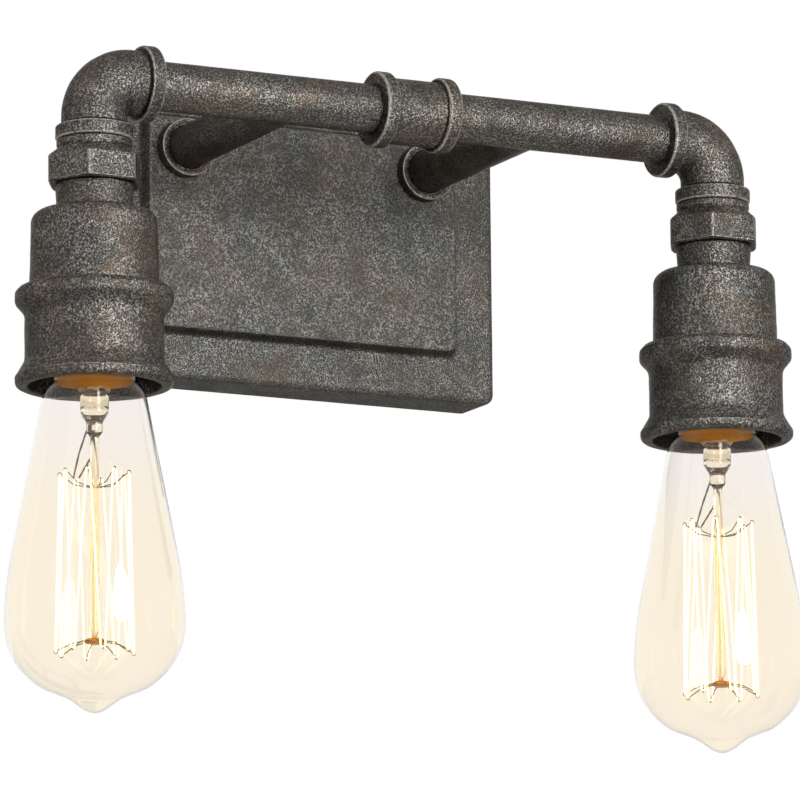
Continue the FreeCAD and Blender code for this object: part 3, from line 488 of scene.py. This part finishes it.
def castSkin(item, surface):
    # a casting has low lumps and small pits, and a drawn or pressed part has fainter ones. The skin only moves
    # inward, so the piece stays in its packed size.
    mesh = item.data
    normals = [vertex.normal.copy() for vertex in mesh.vertices]
    for vertex, normal in zip(mesh.vertices, normals):
        lump = 0.5 + 0.5 * noise.noise(vertex.co / (surface["lumpWidth"] * mm))
        pit = 0.5 + 0.5 * noise.noise(vertex.co / (surface["pitWidth"] * mm))
        vertex.co -= normal * (lump * surface["lumpDepth"] + pit * surface["pitDepth"]) * mm
    mesh.update()


def finishPiece(item, slotName, body, *replaced):
    item.data.materials.clear()
    item.data.materials.append(finish[slotName])
    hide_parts(*replaced)
    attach(item, body)


def fixturePiece(name, node, corners, place, step, count, surface=castSurface, slotName="aged_iron"):
    # a turned or swept piece of the fixture, cast unless its surface and slot say otherwise
    item = ringSkin(name, roundedOutline(corners, step), place, count)
    castSkin(item, surface)
    finishPiece(item, slotName, "fixture", node)


def inMm(node):
    low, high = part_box(node)
    return low / mm, high / mm


def lampAxis(side):
    low, high = inMm("cup_" + side)
    return Vector(((low.x + high.x) / 2, (low.y + high.y) / 2, 0))


# backplate: a pressed cover with a raised panel. An edge is its rounding and its share of wear, which at an inner
# rounding such as the panel's root is a share of painted shade.

cover = {"panelSideInset": 19.0, "panelEndInset": 18.0, "panelRise": 6.0, "draft": 1.5, "wall": 2.0,
         "corner": 4.0, "innerCorner": 1.0, "cornerSteps": 6, "step": 1.4, "capInset": 5.0,
         "rimEdge": (2.6, 0.35), "panelEdge": (1.3, 0.45), "rootEdge": (1.4, 0.4), "backEdge": (0.5, 0.3),
         "innerEdge": (0.8,), "innerRoot": (0.6,)}


def cornerAt(inset):
    # the plan's corner radius shrinks over each rounded edge and is whole again at the panel's root
    corner, panel, rimEdge = cover["corner"], cover["panelSideInset"], cover["rimEdge"][0]
    if inset > panel:
        return max(corner - (inset - panel), cover["innerCorner"])
    if inset < rimEdge:
        return corner - inset
    return corner - rimEdge * (1 - (inset - rimEdge) / (panel - rimEdge))


def planRing(size, inset, y, along, across):
    # points round a rectangle with rounded corners, clockwise from the left end of its top side
    panelShare = min(1.0, inset / cover["panelSideInset"])
    upright = inset - panelShare * (cover["panelSideInset"] - cover["panelEndInset"])
    corner = cornerAt(inset)
    halfX = size.x / 2 - inset - corner
    halfZ = size.z / 2 - upright - corner
    points = []
    for quarter, (signX, signZ) in enumerate(((1, 1), (1, -1), (-1, -1), (-1, 1))):
        lastX, lastZ = ((-1, 1), (1, 1), (1, -1), (-1, -1))[quarter]
        parts = along if quarter % 2 == 0 else across
        way = radians(90 - 90 * quarter)
        for part in range(parts + 1):
            share = part / parts
            x = halfX * (lastX + (signX - lastX) * share) + corner * cos(way)
            z = halfZ * (lastZ + (signZ - lastZ) * share) + corner * sin(way)
            points.append(Vector((x, y, z)))
        for part in range(1, cover["cornerSteps"]):
            turn = way - radians(90) * part / cover["cornerSteps"]
            x = halfX * signX + corner * cos(turn)
            z = halfZ * signZ + corner * sin(turn)
            points.append(Vector((x, y, z)))
    return points, halfX, halfZ


def addCap(verts, faces, wearAndShade, first, halfX, halfZ, y, along, across):
    # closes a ring with a grid, four strips beside it and a fan in each corner
    base = len(verts)
    for row in range(across + 1):
        for column in range(along + 1):
            verts.append(Vector((halfX * (2 * column / along - 1), y, halfZ * (1 - 2 * row / across))))
            wearAndShade.append(0.0)

    def grid(column, row):
        return base + row * (along + 1) + column
    for row in range(across):
        for column in range(along):
            faces.append((grid(column, row), grid(column + 1, row),
                          grid(column + 1, row + 1), grid(column, row + 1)))
    steps = cover["cornerSteps"]
    ringLength = 2 * (along + across + 2) + 4 * (steps - 1)
    borders = ([grid(k, 0) for k in range(along + 1)], [grid(along, k) for k in range(across + 1)],
               [grid(along - k, across) for k in range(along + 1)],
               [grid(0, across - k) for k in range(across + 1)])
    spot = 0
    for border in borders:
        for k in range(len(border) - 1):
            faces.append((first + spot + k, first + spot + k + 1, border[k + 1], border[k]))
        spot += len(border) - 1
        for k in range(steps):
            faces.append((first + spot + k, first + (spot + k + 1) % ringLength, border[-1]))
        spot += steps


def buildBackplate():
    low, high = inMm("backplate")
    size = high - low
    face = low.y
    rim = face + cover["panelRise"]
    inset = cover["panelSideInset"]
    root = inset - cover["draft"]
    wall = cover["wall"]
    cap = inset + cover["capInset"]
    corners = [(cap, face, 0), (inset, face, *cover["panelEdge"]), (root, rim, *cover["rootEdge"]),
               (0, rim, *cover["rimEdge"]), (0, 0, *cover["backEdge"]), (wall, 0, *cover["backEdge"]),
               (wall, rim + wall, *cover["innerEdge"]), (root + wall, rim + wall, *cover["innerRoot"]),
               (inset + wall, face + wall, *cover["innerEdge"]), (cap, face + wall, 0)]
    outline = roundedOutline(corners, cover["step"], closed=False)
    along = round((size.x - 2 * cap) / cover["step"])
    across = round((size.z - 2 * cap) / cover["step"])
    verts = []
    wearAndShade = []
    faces = []
    for inward, y, edge in outline:
        ring, halfX, halfZ = planRing(size, inward, y, along, across)
        verts.extend(ring)
        wearAndShade.extend([edge] * len(ring))
    count = len(ring)
    for row in range(0, (len(outline) - 1) * count, count):
        for k in range(count):
            beside = (k + 1) % count
            faces.append((row + k, row + beside, row + count + beside, row + count + k))
    addCap(verts, faces, wearAndShade, 0, halfX, halfZ, face, along, across)
    addCap(verts, faces, wearAndShade, (len(outline) - 1) * count, halfX, halfZ, face + wall, along, across)
    middle = Vector(((low.x + high.x) / 2, 0, (low.z + high.z) / 2))
    item = makeObject("backplateCover", [vert + middle for vert in verts], faces, wearAndShade)
    castSkin(item, drawnSurface)
    finishPiece(item, "aged_iron_plate", "fixture", "backplate")


buildBackplate()
print("backplate built")


# arms: a collar on the panel and a pipe that meets the crossbar on its round back

arm = {"wall": 1.4, "boreGap": 0.1, "collarEdge": 0.7, "collarLip": 0.9, "lipDepth": 0.5, "lipEdge": 0.3,
       "boreEdge": 0.2, "overlap": 0.2, "collarStep": 0.6, "pipeStep": 1.2, "count": 96}


def buildArms():
    barLow, barHigh = inMm("crossbar_pipe_left")
    barY = (barLow.y + barHigh.y) / 2
    barRadius = (barHigh.z - barLow.z) / 2
    for side, _ in sides:
        low, high = inMm("arm_flange_" + side)
        foot = Vector(((low.x + high.x) / 2, high.y, (low.z + high.z) / 2))
        around = aboutAxis(foot, outOfWall)
        outer = (high.x - low.x) / 2
        height = high.y - low.y
        pipeLow, pipeHigh = inMm("arm_pipe_" + side)
        radius = (pipeHigh.x - pipeLow.x) / 2
        bore = radius + arm["boreGap"]
        lip = outer - 2 * arm["collarLip"]
        sunk = height - arm["lipDepth"]
        corners = [(bore, 0, 0), (outer, 0, 0), (outer, height, arm["collarEdge"]), (lip, height, arm["lipEdge"]),
                   (lip, sunk, arm["lipEdge"]), (bore, sunk, arm["boreEdge"])]
        fixturePiece("armCollar_" + side, "arm_flange_" + side, corners, around, arm["collarStep"], arm["count"])
        reach = foot.y - barY

        def coped(across, height, angle, wearAndShade):
            # the free end stops on the crossbar's surface
            spot, _ = around(across, 0, angle, wearAndShade)
            rise = spot.z - foot.z
            stop = reach - sqrt(max(barRadius ** 2 - rise ** 2, 0)) + arm["overlap"]
            return spot + outOfWall * stop * height / reach, wearAndShade
        inner = radius - arm["wall"]
        corners = [(radius, 0, 0), (radius, reach, 0), (inner, reach, 0), (inner, 0, 0)]
        fixturePiece("armPipe_" + side, "arm_pipe_" + side, corners, coped, arm["pipeStep"], arm["count"],
                     drawnSurface, "aged_pipe")


buildArms()
print("arms built")


# crossbar: two pipes that meet under a sleeve with a raised band at each end

crossbar = {"wall": 1.5, "pipeEdge": 0.3, "boreGap": 0.1, "sleeveRadius": 12.3, "bandWidth": 5.6,
            "bandEdge": 1.3, "innerEdge": 1.04, "bandRoot": 0.9, "boreEdge": 0.3, "pipeStep": 1.2,
            "sleeveStep": 0.8, "count": 112}


def bandedCorners(bore, body, band, low, high):
    # a sleeve with a band at each end, from low to high along its axis
    # the bands' roots are inner roundings and take full painted shade
    edge, inner, root = crossbar["bandEdge"], crossbar["innerEdge"], crossbar["bandRoot"]
    first, last = low + crossbar["bandWidth"], high - crossbar["bandWidth"]
    return [(bore, low, crossbar["boreEdge"]), (band, low, edge), (band, first, inner), (body, first, root),
            (body, last, root), (band, last, inner), (band, high, edge), (bore, high, crossbar["boreEdge"])]


def buildCrossbar():
    for side, _ in sides:
        low, high = inMm("crossbar_pipe_" + side)
        radius = (high.z - low.z) / 2
        start = Vector((low.x, (low.y + high.y) / 2, (low.z + high.z) / 2))
        length = high.x - low.x
        inner = radius - crossbar["wall"]
        corners = [(across, height, crossbar["pipeEdge"])
                   for across, height in ((inner, 0), (radius, 0), (radius, length), (inner, length))]
        fixturePiece("crossbarPipe_" + side, "crossbar_pipe_" + side, corners, aboutAxis(start, alongWall),
                     crossbar["pipeStep"], crossbar["count"], drawnSurface, "aged_pipe")
    low, high = inMm("coupling")
    half = (high.x - low.x) / 2
    bore = radius + crossbar["boreGap"]
    corners = bandedCorners(bore, crossbar["sleeveRadius"], (high.z - low.z) / 2, -half, half)
    fixturePiece("couplingSleeve", "coupling", corners, aboutAxis((low + high) / 2, alongWall),
                 crossbar["sleeveStep"], crossbar["count"])


buildCrossbar()
print("crossbar built")


# elbows: a banded quarter bend, swept, with painted shade in the inside of the bend

elbow = {"radius": 12.0, "bend": 14.0, "bore": 6.6, "paintedBendShade": 0.8, "paintedBendShadeReach": 3.0, "paintedBendShadeFocus": 4,
         "step": 0.8, "count": 112}


def buildElbows():
    for side, way in sides:
        low, high = inMm("elbow_" + side)
        band = (high.y - low.y) / 2
        axis = lampAxis(side)
        corner = Vector((axis.x, axis.y, high.z - band))
        reach = corner.z - low.z
        leg = reach - elbow["bend"]
        arc = elbow["bend"] * pi / 2
        toMiddle = alongWall * way
        hub = corner + toMiddle * elbow["bend"] - up * elbow["bend"]

        def swept(radius, run, angle, wearAndShade):
            if run <= leg:
                centre = corner + toMiddle * (reach - run)
                outward = up
            elif run < leg + arc:
                turn = (run - leg) / elbow["bend"]
                outward = up * cos(turn) - toMiddle * sin(turn)
                centre = hub + outward * elbow["bend"]
            else:
                centre = corner - up * (elbow["bend"] + run - leg - arc)
                outward = -toMiddle
            spoke = outward * cos(angle) - outOfWall * sin(angle)
            # painted shade, strongest on the inside of the bend, lowers the value that darkens hollows
            fromBend = (run - leg + elbow["paintedBendShadeReach"]) / (arc + 2 * elbow["paintedBendShadeReach"])
            inBend = sin(pi * max(0.0, min(1.0, fromBend)))
            paintedBendShade = elbow["paintedBendShade"] * inBend * max(0.0, -cos(angle)) ** elbow["paintedBendShadeFocus"]
            return centre + spoke * radius, wearAndShade - paintedBendShade
        corners = bandedCorners(elbow["bore"], elbow["radius"], band, 0, 2 * leg + arc)
        fixturePiece("elbowCasting_" + side, "elbow_" + side, corners, swept, elbow["step"], elbow["count"])


buildElbows()
print("elbows built")


# hex bushings: a bead, a throat that widens to the hexagon, and the hexagon itself

bushing = {"bore": 5.1, "beadRadius": 13.6, "beadHeight": 2.2, "beadEdge": 0.5, "throatRadius": 13.0,
           "throatEdge": 0.8, "roundAbove": 1.4, "hexHeight": 10.2, "flats": 32.0, "chamfer": 1.0,
           "hexEdge": 0.3, "cornerSharpness": 26, "cornerEase": 0.15, "cornerWear": 0.75, "wearWidth": 0.035,
           "step": 0.7, "count": 192}


def buildBushing(side):
    low, high = inMm("hex_bushing_" + side)
    bore, edge, cut = bushing["bore"], bushing["hexEdge"], bushing["chamfer"]
    beadFoot = high.z - bushing["beadHeight"]
    hexTop = low.z + bushing["hexHeight"]
    corner = bushing["flats"] / sqrt(3)
    beadRadius = bushing["beadRadius"]
    corners = [(bore, high.z, 0), (beadRadius, high.z, bushing["beadEdge"], 0.4),
               (beadRadius, beadFoot + 0.2, bushing["beadEdge"], 0.6),
               (bushing["throatRadius"], beadFoot - 0.6, bushing["throatEdge"], 0.4),
               (corner - cut * 0.6, hexTop - 0.1, 0.4, 0.5), (corner, hexTop - cut * 0.7, edge, 0.6),
               (corner, low.z + cut * 0.7, edge), (corner - cut, low.z, edge), (bore, low.z, 0)]
    around = aboutAxis(lampAxis(side), up)

    def hexed(radius, height, angle, wearAndShade):
        # below the throat the section goes over from round to a hexagon with eased corners
        if height > beadFoot - bushing["roundAbove"] or radius <= beadRadius:
            return around(radius, height, angle, wearAndShade)
        sixth = radians(60)
        offset = angle % sixth - sixth / 2  # 0 is the middle of a flat
        flat = bushing["flats"] / 2 / cos(offset)
        power = bushing["cornerSharpness"]
        limit = (flat ** -power + (corner - bushing["cornerEase"]) ** -power) ** (-1 / power)
        share = (radius - beadRadius) / (corner - beadRadius)
        if share > 0.97:
            fromCorner = (sixth / 2 - abs(offset)) / bushing["wearWidth"]
            wearAndShade = max(wearAndShade, bushing["cornerWear"] * exp(-fromCorner ** 2))
        return around(beadRadius + share * (limit - beadRadius), height, angle, wearAndShade)
    fixturePiece("hexBushing_" + side, "hex_bushing_" + side, corners, hexed, bushing["step"], bushing["count"],
                 drawnSurface)


# necks, reducers and cups: turned about the lamp's axis. A rim's list gives, from the cup's end inward, how far
# each corner is inside the rim's radius or from the end, its rounding and its share of wear. The cup's roots are
# inner roundings, and their share is of painted shade.

fitting = {"bore": 5.1, "edge": 0.3, "wearAndShade": 0.2, "neckTop": 14.2, "neckFoot": 13.5, "reducerTop": 22.7,
           "reducerFoot": 23.3, "shoulder": 4.6, "shoulderWear": 0.35, "reducerWall": 2.4, "spigotRadius": 23.5,
           "step": 0.9, "count": 128}
cup = {"bore": 23.7, "radius": 25.0, "waist": 9.4, "upperRoot": 5.0, "lowerRoot": 6.0,
       "upperRim": ((1.6, 0.0, 0.9, 1.0), (0.0, 1.8, 1.6, 0.3), (0.0, 5.4, 2.7, 0.1)),
       "lowerRim": ((1.1, 5.2, 0.9, 1.0), (0.0, 3.6, 0.8, 0.6), (0.0, 0.0, 2.2, 0.2)),
       "step": 0.8, "count": 144}


def lampLathe(name, side, corners, sizes):
    fixturePiece(name + "Casting_" + side, name + "_" + side, corners, aboutAxis(lampAxis(side), up),
                 sizes["step"], sizes["count"])


def buildNeck(side):
    low, high = inMm("neck_" + side)
    bore, edge, wearAndShade = fitting["bore"], fitting["edge"], fitting["wearAndShade"]
    corners = [(bore, high.z, 0), (fitting["neckTop"], high.z, edge, wearAndShade),
               (fitting["neckFoot"], low.z, edge, wearAndShade), (bore, low.z, 0)]
    lampLathe("neck", side, corners, fitting)


def buildReducer(side):
    low, high = inMm("reducer_" + side)
    _, cupHigh = inMm("cup_" + side)
    bore, edge, wearAndShade = fitting["bore"], fitting["edge"], fitting["wearAndShade"]
    top, foot, wall = fitting["reducerTop"], fitting["reducerFoot"], fitting["reducerWall"]
    spigot, seat = fitting["spigotRadius"], cupHigh.z + 0.1
    corners = [(bore, high.z, 0), (top, high.z, fitting["shoulder"], fitting["shoulderWear"]),
               (foot, seat, 0.5, wearAndShade), (spigot - 0.6, seat, 0.1), (spigot - 0.6, low.z, edge),
               (spigot - wall, low.z, edge), (top - wall, high.z - wall, fitting["shoulder"]),
               (bore, high.z - wall, 0)]
    lampLathe("reducer", side, corners, fitting)


def buildCup(side):
    low, high = inMm("cup_" + side)
    rim = (high.x - low.x) / 2
    corners = [(cup["bore"], high.z, 0.4, 0.3)]
    corners += [(rim - inside, high.z - down, rounding, wearAndShade) for inside, down, rounding, wearAndShade in cup["upperRim"]]
    corners += [(cup["radius"], high.z - cup["waist"], cup["upperRoot"], 0.25),
                (cup["radius"], low.z + cup["waist"], cup["lowerRoot"], 0.1)]
    corners += [(rim - inside, low.z + rise, rounding, wearAndShade) for inside, rise, rounding, wearAndShade in cup["lowerRim"]]
    corners += [(cup["bore"], low.z, 0.7, 0.3)]
    lampLathe("cup", side, corners, cup)


for side, _ in sides:
    buildBushing(side)
    buildNeck(side)
    buildReducer(side)
    buildCup(side)
print("lamp fittings built")


# bulbs: a blown envelope. Depths are below the cup's foot.

bulb = {"lipRadius": 12.5, "neckRadius": 18.5, "neckEnd": 3.0, "equator": 84.5, "flankRadius": 123.0,
        "bellyRadius": 26.5, "bellyAngle": 58.0, "pipRadius": 6.0, "pipHeight": 2.8, "wall": 0.6,
        "lipParts": 8, "flankParts": 24, "bellyParts": 28, "tipParts": 10, "count": 112}


def curveBetween(start, startWay, end, endWay, parts):
    # a smooth run between two points of an outline, with the way it leaves and arrives
    start, startWay, end, endWay = (Vector(pair) for pair in (start, startWay, end, endWay))
    pull = (end - start).length / 3
    points = interpolate_bezier(start, start + startWay.normalized() * pull, end - endWay.normalized() * pull,
                                end, parts + 1)
    return [Vector(point[:2]) for point in points]


def arcBetween(middle, depth, radius, first, last, parts):
    # points of a circle round (middle, depth), from one angle to another
    angles = [first + (last - first) * part / parts for part in range(parts + 1)]
    return [Vector((middle + radius * cos(angle), depth + radius * sin(angle))) for angle in angles]


def glassOutline(radius, lip, drop):
    # the outside as (radius, depth): neck, flank, belly and tip
    flankRadius, bellyRadius, equator = bulb["flankRadius"], bulb["bellyRadius"], bulb["equator"]
    across = bulb["neckRadius"] + flankRadius - radius
    down = equator - bulb["neckEnd"]
    flank = atan2(down, across) - acos(flankRadius / hypot(across, down))
    belly = radians(bulb["bellyAngle"])
    points = curveBetween((bulb["lipRadius"], lip), (1.0, 1.2), (bulb["neckRadius"], bulb["neckEnd"]),
                          (sin(flank), cos(flank)), bulb["lipParts"])
    points += arcBetween(radius - flankRadius, equator, flankRadius, -flank, 0.0, bulb["flankParts"])
    points += arcBetween(radius - bellyRadius, equator, bellyRadius, 0.0, belly, bulb["bellyParts"])[1:]
    tipWay = (-1.4, 1.0)
    tipSide = (1.4 * bulb["pipRadius"], drop - 1.6 * bulb["pipHeight"])
    points += curveBetween(points[-1], (-sin(belly), cos(belly)), tipSide, tipWay, bulb["tipParts"])[1:]
    points += curveBetween(tipSide, tipWay, (0, drop), (-1, 0), bulb["tipParts"])[1:]
    return points


def insideOf(points, thickness):
    # the same outline moved in along its normals
    inner = []
    for before, here, after in zip(points[:1] + points, points, points[1:] + points[-1:]):
        way = (after - before).normalized()
        inner.append(here + Vector((-way.y, way.x)) * thickness)
    inner[-1].x = 0
    return inner


def hangingOutline(points, foot):
    return [(max(point.x, 0.0), foot - point.y, 0.0) for point in points]


def buildGlass(side, foot):
    low, high = inMm("bulb_glass_" + side)
    outer = glassOutline((high.x - low.x) / 2, foot - high.z, foot - low.z)
    inner = insideOf(outer, bulb["wall"])
    item = ringSkin("bulbEnvelope_" + side, hangingOutline(outer + inner[::-1], foot),
                    aboutAxis(lampAxis(side), up), bulb["count"])
    finishPiece(item, "bulb_glass", "bulb_" + side, "bulb_glass_" + side)


# stems: flare, brown seal, tube, pinch, spine and button in one piece of glass

stem = {"radius": 5.1, "wall": 0.9, "end": 9.0, "pinchRadius": 2.9, "pinchEnd": 17.5, "spineRadius": 1.65,
        "spineEnd": 91.0, "spineParts": 20, "buttonRadius": 3.7, "buttonHeight": 2.6, "buttonParts": 12,
        "sealRadius": 14.3, "sealTop": -3.8, "sealFoot": -1.7, "sealFade": 2.4, "sealEdge": 0.8,
        "raggedWidth": 2.2, "raggedDepth": 0.9, "buttonSpread": 1.6, "rodTint": 0.2, "tintFrom": 23.0,
        "tintRun": 8.0, "count": 72}


def stemOutline(flare, top):
    # down the outside to the button, then up the inside of the tube
    radius, wall, end = stem["radius"], stem["wall"], stem["end"]
    pinch, pinchEnd = stem["pinchRadius"], stem["pinchEnd"]
    spine, spineEnd = stem["spineRadius"], stem["spineEnd"]
    seal, sealTop, sealFoot = stem["sealRadius"], stem["sealTop"], stem["sealFoot"]
    down = (0, 1)
    points = [(flare, top + 0.6), (seal - 1.0, sealTop), (seal, sealTop + 0.8), (seal, sealFoot - 1.0)]
    points += curveBetween((seal - 1.0, sealFoot), (-1, 0.1), (radius, 2.5), down, 12)
    points += [(radius, end - 1.5)]
    points += curveBetween((radius, end), down, (pinch, end + 4.2), down, 8)
    points += curveBetween((pinch, pinchEnd - 1.6), down, (spine, pinchEnd + 0.6), down, 6)
    parts = stem["spineParts"]
    points += [(spine, pinchEnd + (spineEnd - pinchEnd) * k / parts) for k in range(1, parts)]
    for part in range(stem["buttonParts"] + 1):
        angle = pi * (0.06 + 0.94 * part / stem["buttonParts"])
        points.append((stem["buttonRadius"] * sin(angle),
                       spineEnd - stem["buttonHeight"] / 2 * cos(angle)))
    points[-1] = (0, points[-1][1])
    bore, floor = radius - wall, end - wall
    points += [(0, floor), (bore - 1, floor), (bore, floor - 1)]
    points += curveBetween((bore, 2.5), (0, -1), (flare - wall, sealTop), (1, -0.1), 12)
    return [Vector(point) for point in points + [(flare - wall, top)]]


def buildStem(side, foot):
    low, high = inMm("bulb_stem_" + side)
    outline = hangingOutline(stemOutline((high.x - low.x) / 2, foot - high.z), foot)
    item = ringSkin("bulbStemGlass_" + side, outline, aboutAxis(lampAxis(side), up), stem["count"])
    tint = []
    for vertex in item.data.vertices:
        depth = foot - vertex.co.z / mm
        ragged = stem["raggedDepth"] * noise.noise(vertex.co / (stem["raggedWidth"] * mm))
        atSeal = 1 - (depth - stem["sealFoot"] - stem["sealFade"] + ragged) / stem["sealEdge"]
        atButton = stem["buttonSpread"] - abs(depth - stem["spineEnd"]) / (stem["buttonHeight"] / 2)
        onRod = stem["rodTint"] * min(1.0, max(0.0, (depth - stem["tintFrom"]) / stem["tintRun"]))
        tint.append(max(0.0, min(1.0, max(atSeal, atButton, onRod))))
    item.data.attributes.new("amber", "FLOAT", "POINT").data.foreach_set("value", tint)
    finishPiece(item, "stem_glass", "bulb_" + side, "bulb_stem_" + side)


# cage: one filament laced up and down between hooks, and two leads. Angles are degrees round the lamp's axis.

cage = {"topRadius": 12.5, "top": 31.0, "footRadius": 14.0, "foot": 95.0, "pairs": 8, "strandGap": 6.4,
        "strandBend": 0.7, "hookRise": 5.0, "hookRun": 0.6, "hookDrop": 0.25, "loopHeight": 0.75,
        "loopWidth": 0.55, "loopFrom": -120, "loopStep": 40, "loopParts": 7,
        "leadAngle": 100.0, "leadSpread": 40.0, "leadBend": 1.6,
        "filament": 0.26, "hook": 0.2, "lead": 0.34, "wireResolution": 3}


def polar(radius, degrees, depth):
    angle = radians(degrees)
    return Vector((radius * cos(angle), radius * sin(angle), -depth))


def wirePiece(name, runs, radius, origin):
    # round wires through points
    curve = bpy.data.curves.new(name, "CURVE")
    curve.dimensions = "3D"
    curve.bevel_depth = radius * mm
    curve.bevel_resolution = cage["wireResolution"]
    curve.use_fill_caps = True
    for points in runs:
        spline = curve.splines.new("POLY")
        spline.points.add(len(points) - 1)
        for slot, point in zip(spline.points, points):
            slot.co = (*((origin + point) * mm), 1)
    shape = newObject(name, curve)
    bpy.context.view_layer.update()
    mesh = bpy.data.meshes.new_from_object(shape.evaluated_get(bpy.context.evaluated_depsgraph_get()))
    bpy.data.objects.remove(shape)
    mesh.shade_smooth()
    return newObject(name, mesh)


def softened(points, reach, parts=5):
    # replaces each corner of a path by a small curve
    path = [points[0]]
    for before, here, after in zip(points, points[1:], points[2:]):
        start = here + (before - here).normalized() * min(reach, (before - here).length / 2)
        end = here + (after - here).normalized() * min(reach, (after - here).length / 2)
        turn = interpolate_bezier(start, start.lerp(here, 0.6), end.lerp(here, 0.6), end, parts + 1)
        path += [Vector(point) for point in turn]
    return path + [points[-1]]


def hookSpots():
    # the angle, radius and depth of each hook, and whether it is a lower one
    spots = []
    for k in range(1, 2 * cage["pairs"]):
        end = "foot" if k % 2 else "top"
        angle = cage["leadAngle"] + k * 180 / cage["pairs"]
        spots.append((angle, cage[end + "Radius"], cage[end], end == "foot"))
    return spots


def filamentPath():
    # up and down between the hooks, all the way round
    half = cage["strandGap"] / 2
    points = [polar(cage["topRadius"], cage["leadAngle"], cage["top"])]
    for angle, radius, depth, _ in hookSpots():
        points += [polar(radius, angle - half, depth), polar(radius, angle + half, depth)]
    points.append(polar(cage["topRadius"], cage["leadAngle"] + 360 - cage["strandGap"], cage["top"]))
    return softened(points, cage["strandBend"])


def hookPaths():
    # each support runs out from the glass and ends in a small open loop round the filament
    paths = []
    for angle, radius, depth, low in hookSpots():
        root = stem["buttonRadius"] - 0.4 if low else stem["spineRadius"] - 0.3
        rootDepth = stem["spineEnd"] if low else cage["top"] + cage["hookRise"]
        past = cage["loopHeight"] if low else -cage["loopHeight"]
        points = [polar(root, angle, rootDepth),
                  polar(radius * cage["hookRun"], angle, rootDepth + (depth - rootDepth) * cage["hookDrop"]),
                  polar(radius - 1.2, angle, depth - 0.8 * past)]
        for turn in range(cage["loopParts"]):
            share = radians(cage["loopFrom"] + cage["loopStep"] * turn)
            points.append(polar(radius + cage["loopWidth"] * sin(share), angle,
                                depth + past * cos(share)))
        paths.append(points)
    return paths


def leadPaths():
    # from the pinch outward, then down to the two ends of the filament
    paths = []
    near, pinchEnd = stem["pinchRadius"] - 0.2, stem["pinchEnd"]
    last = cage["leadAngle"] + 360 - cage["strandGap"]
    for end, way in ((cage["leadAngle"], 1), (last, -1)):
        spread = cage["leadAngle"] + way * cage["leadSpread"]
        points = [polar(near, spread, pinchEnd - 2.5), polar(near + 0.9, spread, pinchEnd),
                  polar(near + 3.4, spread - way * 12, pinchEnd + 5.5),
                  polar(cage["topRadius"], end + way * 2, cage["top"] - 0.5)]
        paths.append(softened(points, cage["leadBend"]))
    return paths


def buildCage(side, foot):
    origin = lampAxis(side) + up * foot
    for name, runs, wire, slotName, node in (
            ("filamentWire_", [filamentPath()], "filament", "glowing_filament", "bulb_filament_"),
            ("filamentHooks_", hookPaths(), "hook", "support_wire", "bulb_supports_"),
            ("leadWires_", leadPaths(), "lead", "support_wire", "bulb_leads_")):
        item = wirePiece(name + side, runs, cage[wire], origin)
        finishPiece(item, slotName, "bulb_" + side, node + side)


# brass caps: a helical rolled thread between a plain skirt and a shoulder

cap = {"wall": 0.5, "pitch": 3.63, "depth": 0.75, "turns": 4.0, "threadFade": 1.2, "hole": 8.0,
       "shoulder": 2.6, "shoulderEdge": 0.8, "skirtDrop": 0.9, "skirtIn": 1.2, "edge": 0.3, "rimEdge": 0.2,
       "step": 0.4, "count": 96}


def buildCap(side):
    low, high = inMm("bulb_cap_" + side)
    hole, wall, edge, rimEdge = cap["hole"], cap["wall"], cap["edge"], cap["rimEdge"]
    radius = (high.x - low.x) / 2
    threadTop = high.z - cap["shoulder"]
    threadFoot = threadTop - cap["turns"] * cap["pitch"]
    around = aboutAxis(lampAxis(side), up)
    waist = radius - cap["depth"] / 2
    inner = waist - wall
    corners = [(hole, high.z, rimEdge), (hole + cap["shoulder"], high.z, 0.6),
               (waist, threadTop, cap["shoulderEdge"]), (waist, threadFoot, edge),
               (radius, threadFoot - cap["skirtDrop"], edge), (radius, low.z, rimEdge),
               (radius - cap["skirtIn"], low.z, rimEdge), (inner, threadFoot, edge),
               (inner, threadTop, cap["shoulderEdge"]), (hole + 1.6, high.z - wall, edge),
               (hole, high.z - wall, 0.1)]

    def threaded(across, height, angle, wearAndShade):
        toEnd = min(height - threadFoot, threadTop - height)
        fade = max(0.0, min(1.0, toEnd / cap["threadFade"]))
        wave = cos(2 * pi * height / cap["pitch"] - angle) * cap["depth"] / 2
        return around(across + wave * fade, height, angle, wearAndShade)
    item = ringSkin("bulbCapBrass_" + side, roundedOutline(corners, cap["step"]), threaded, cap["count"])
    finishPiece(item, "cap_brass", "cap_" + side, "bulb_cap_" + side)


for side, _ in sides:
    cupLow, _ = inMm("cup_" + side)
    buildGlass(side, cupLow.z)
    buildStem(side, cupLow.z)
    buildCap(side)
    buildCage(side, cupLow.z)
print("bulbs built")
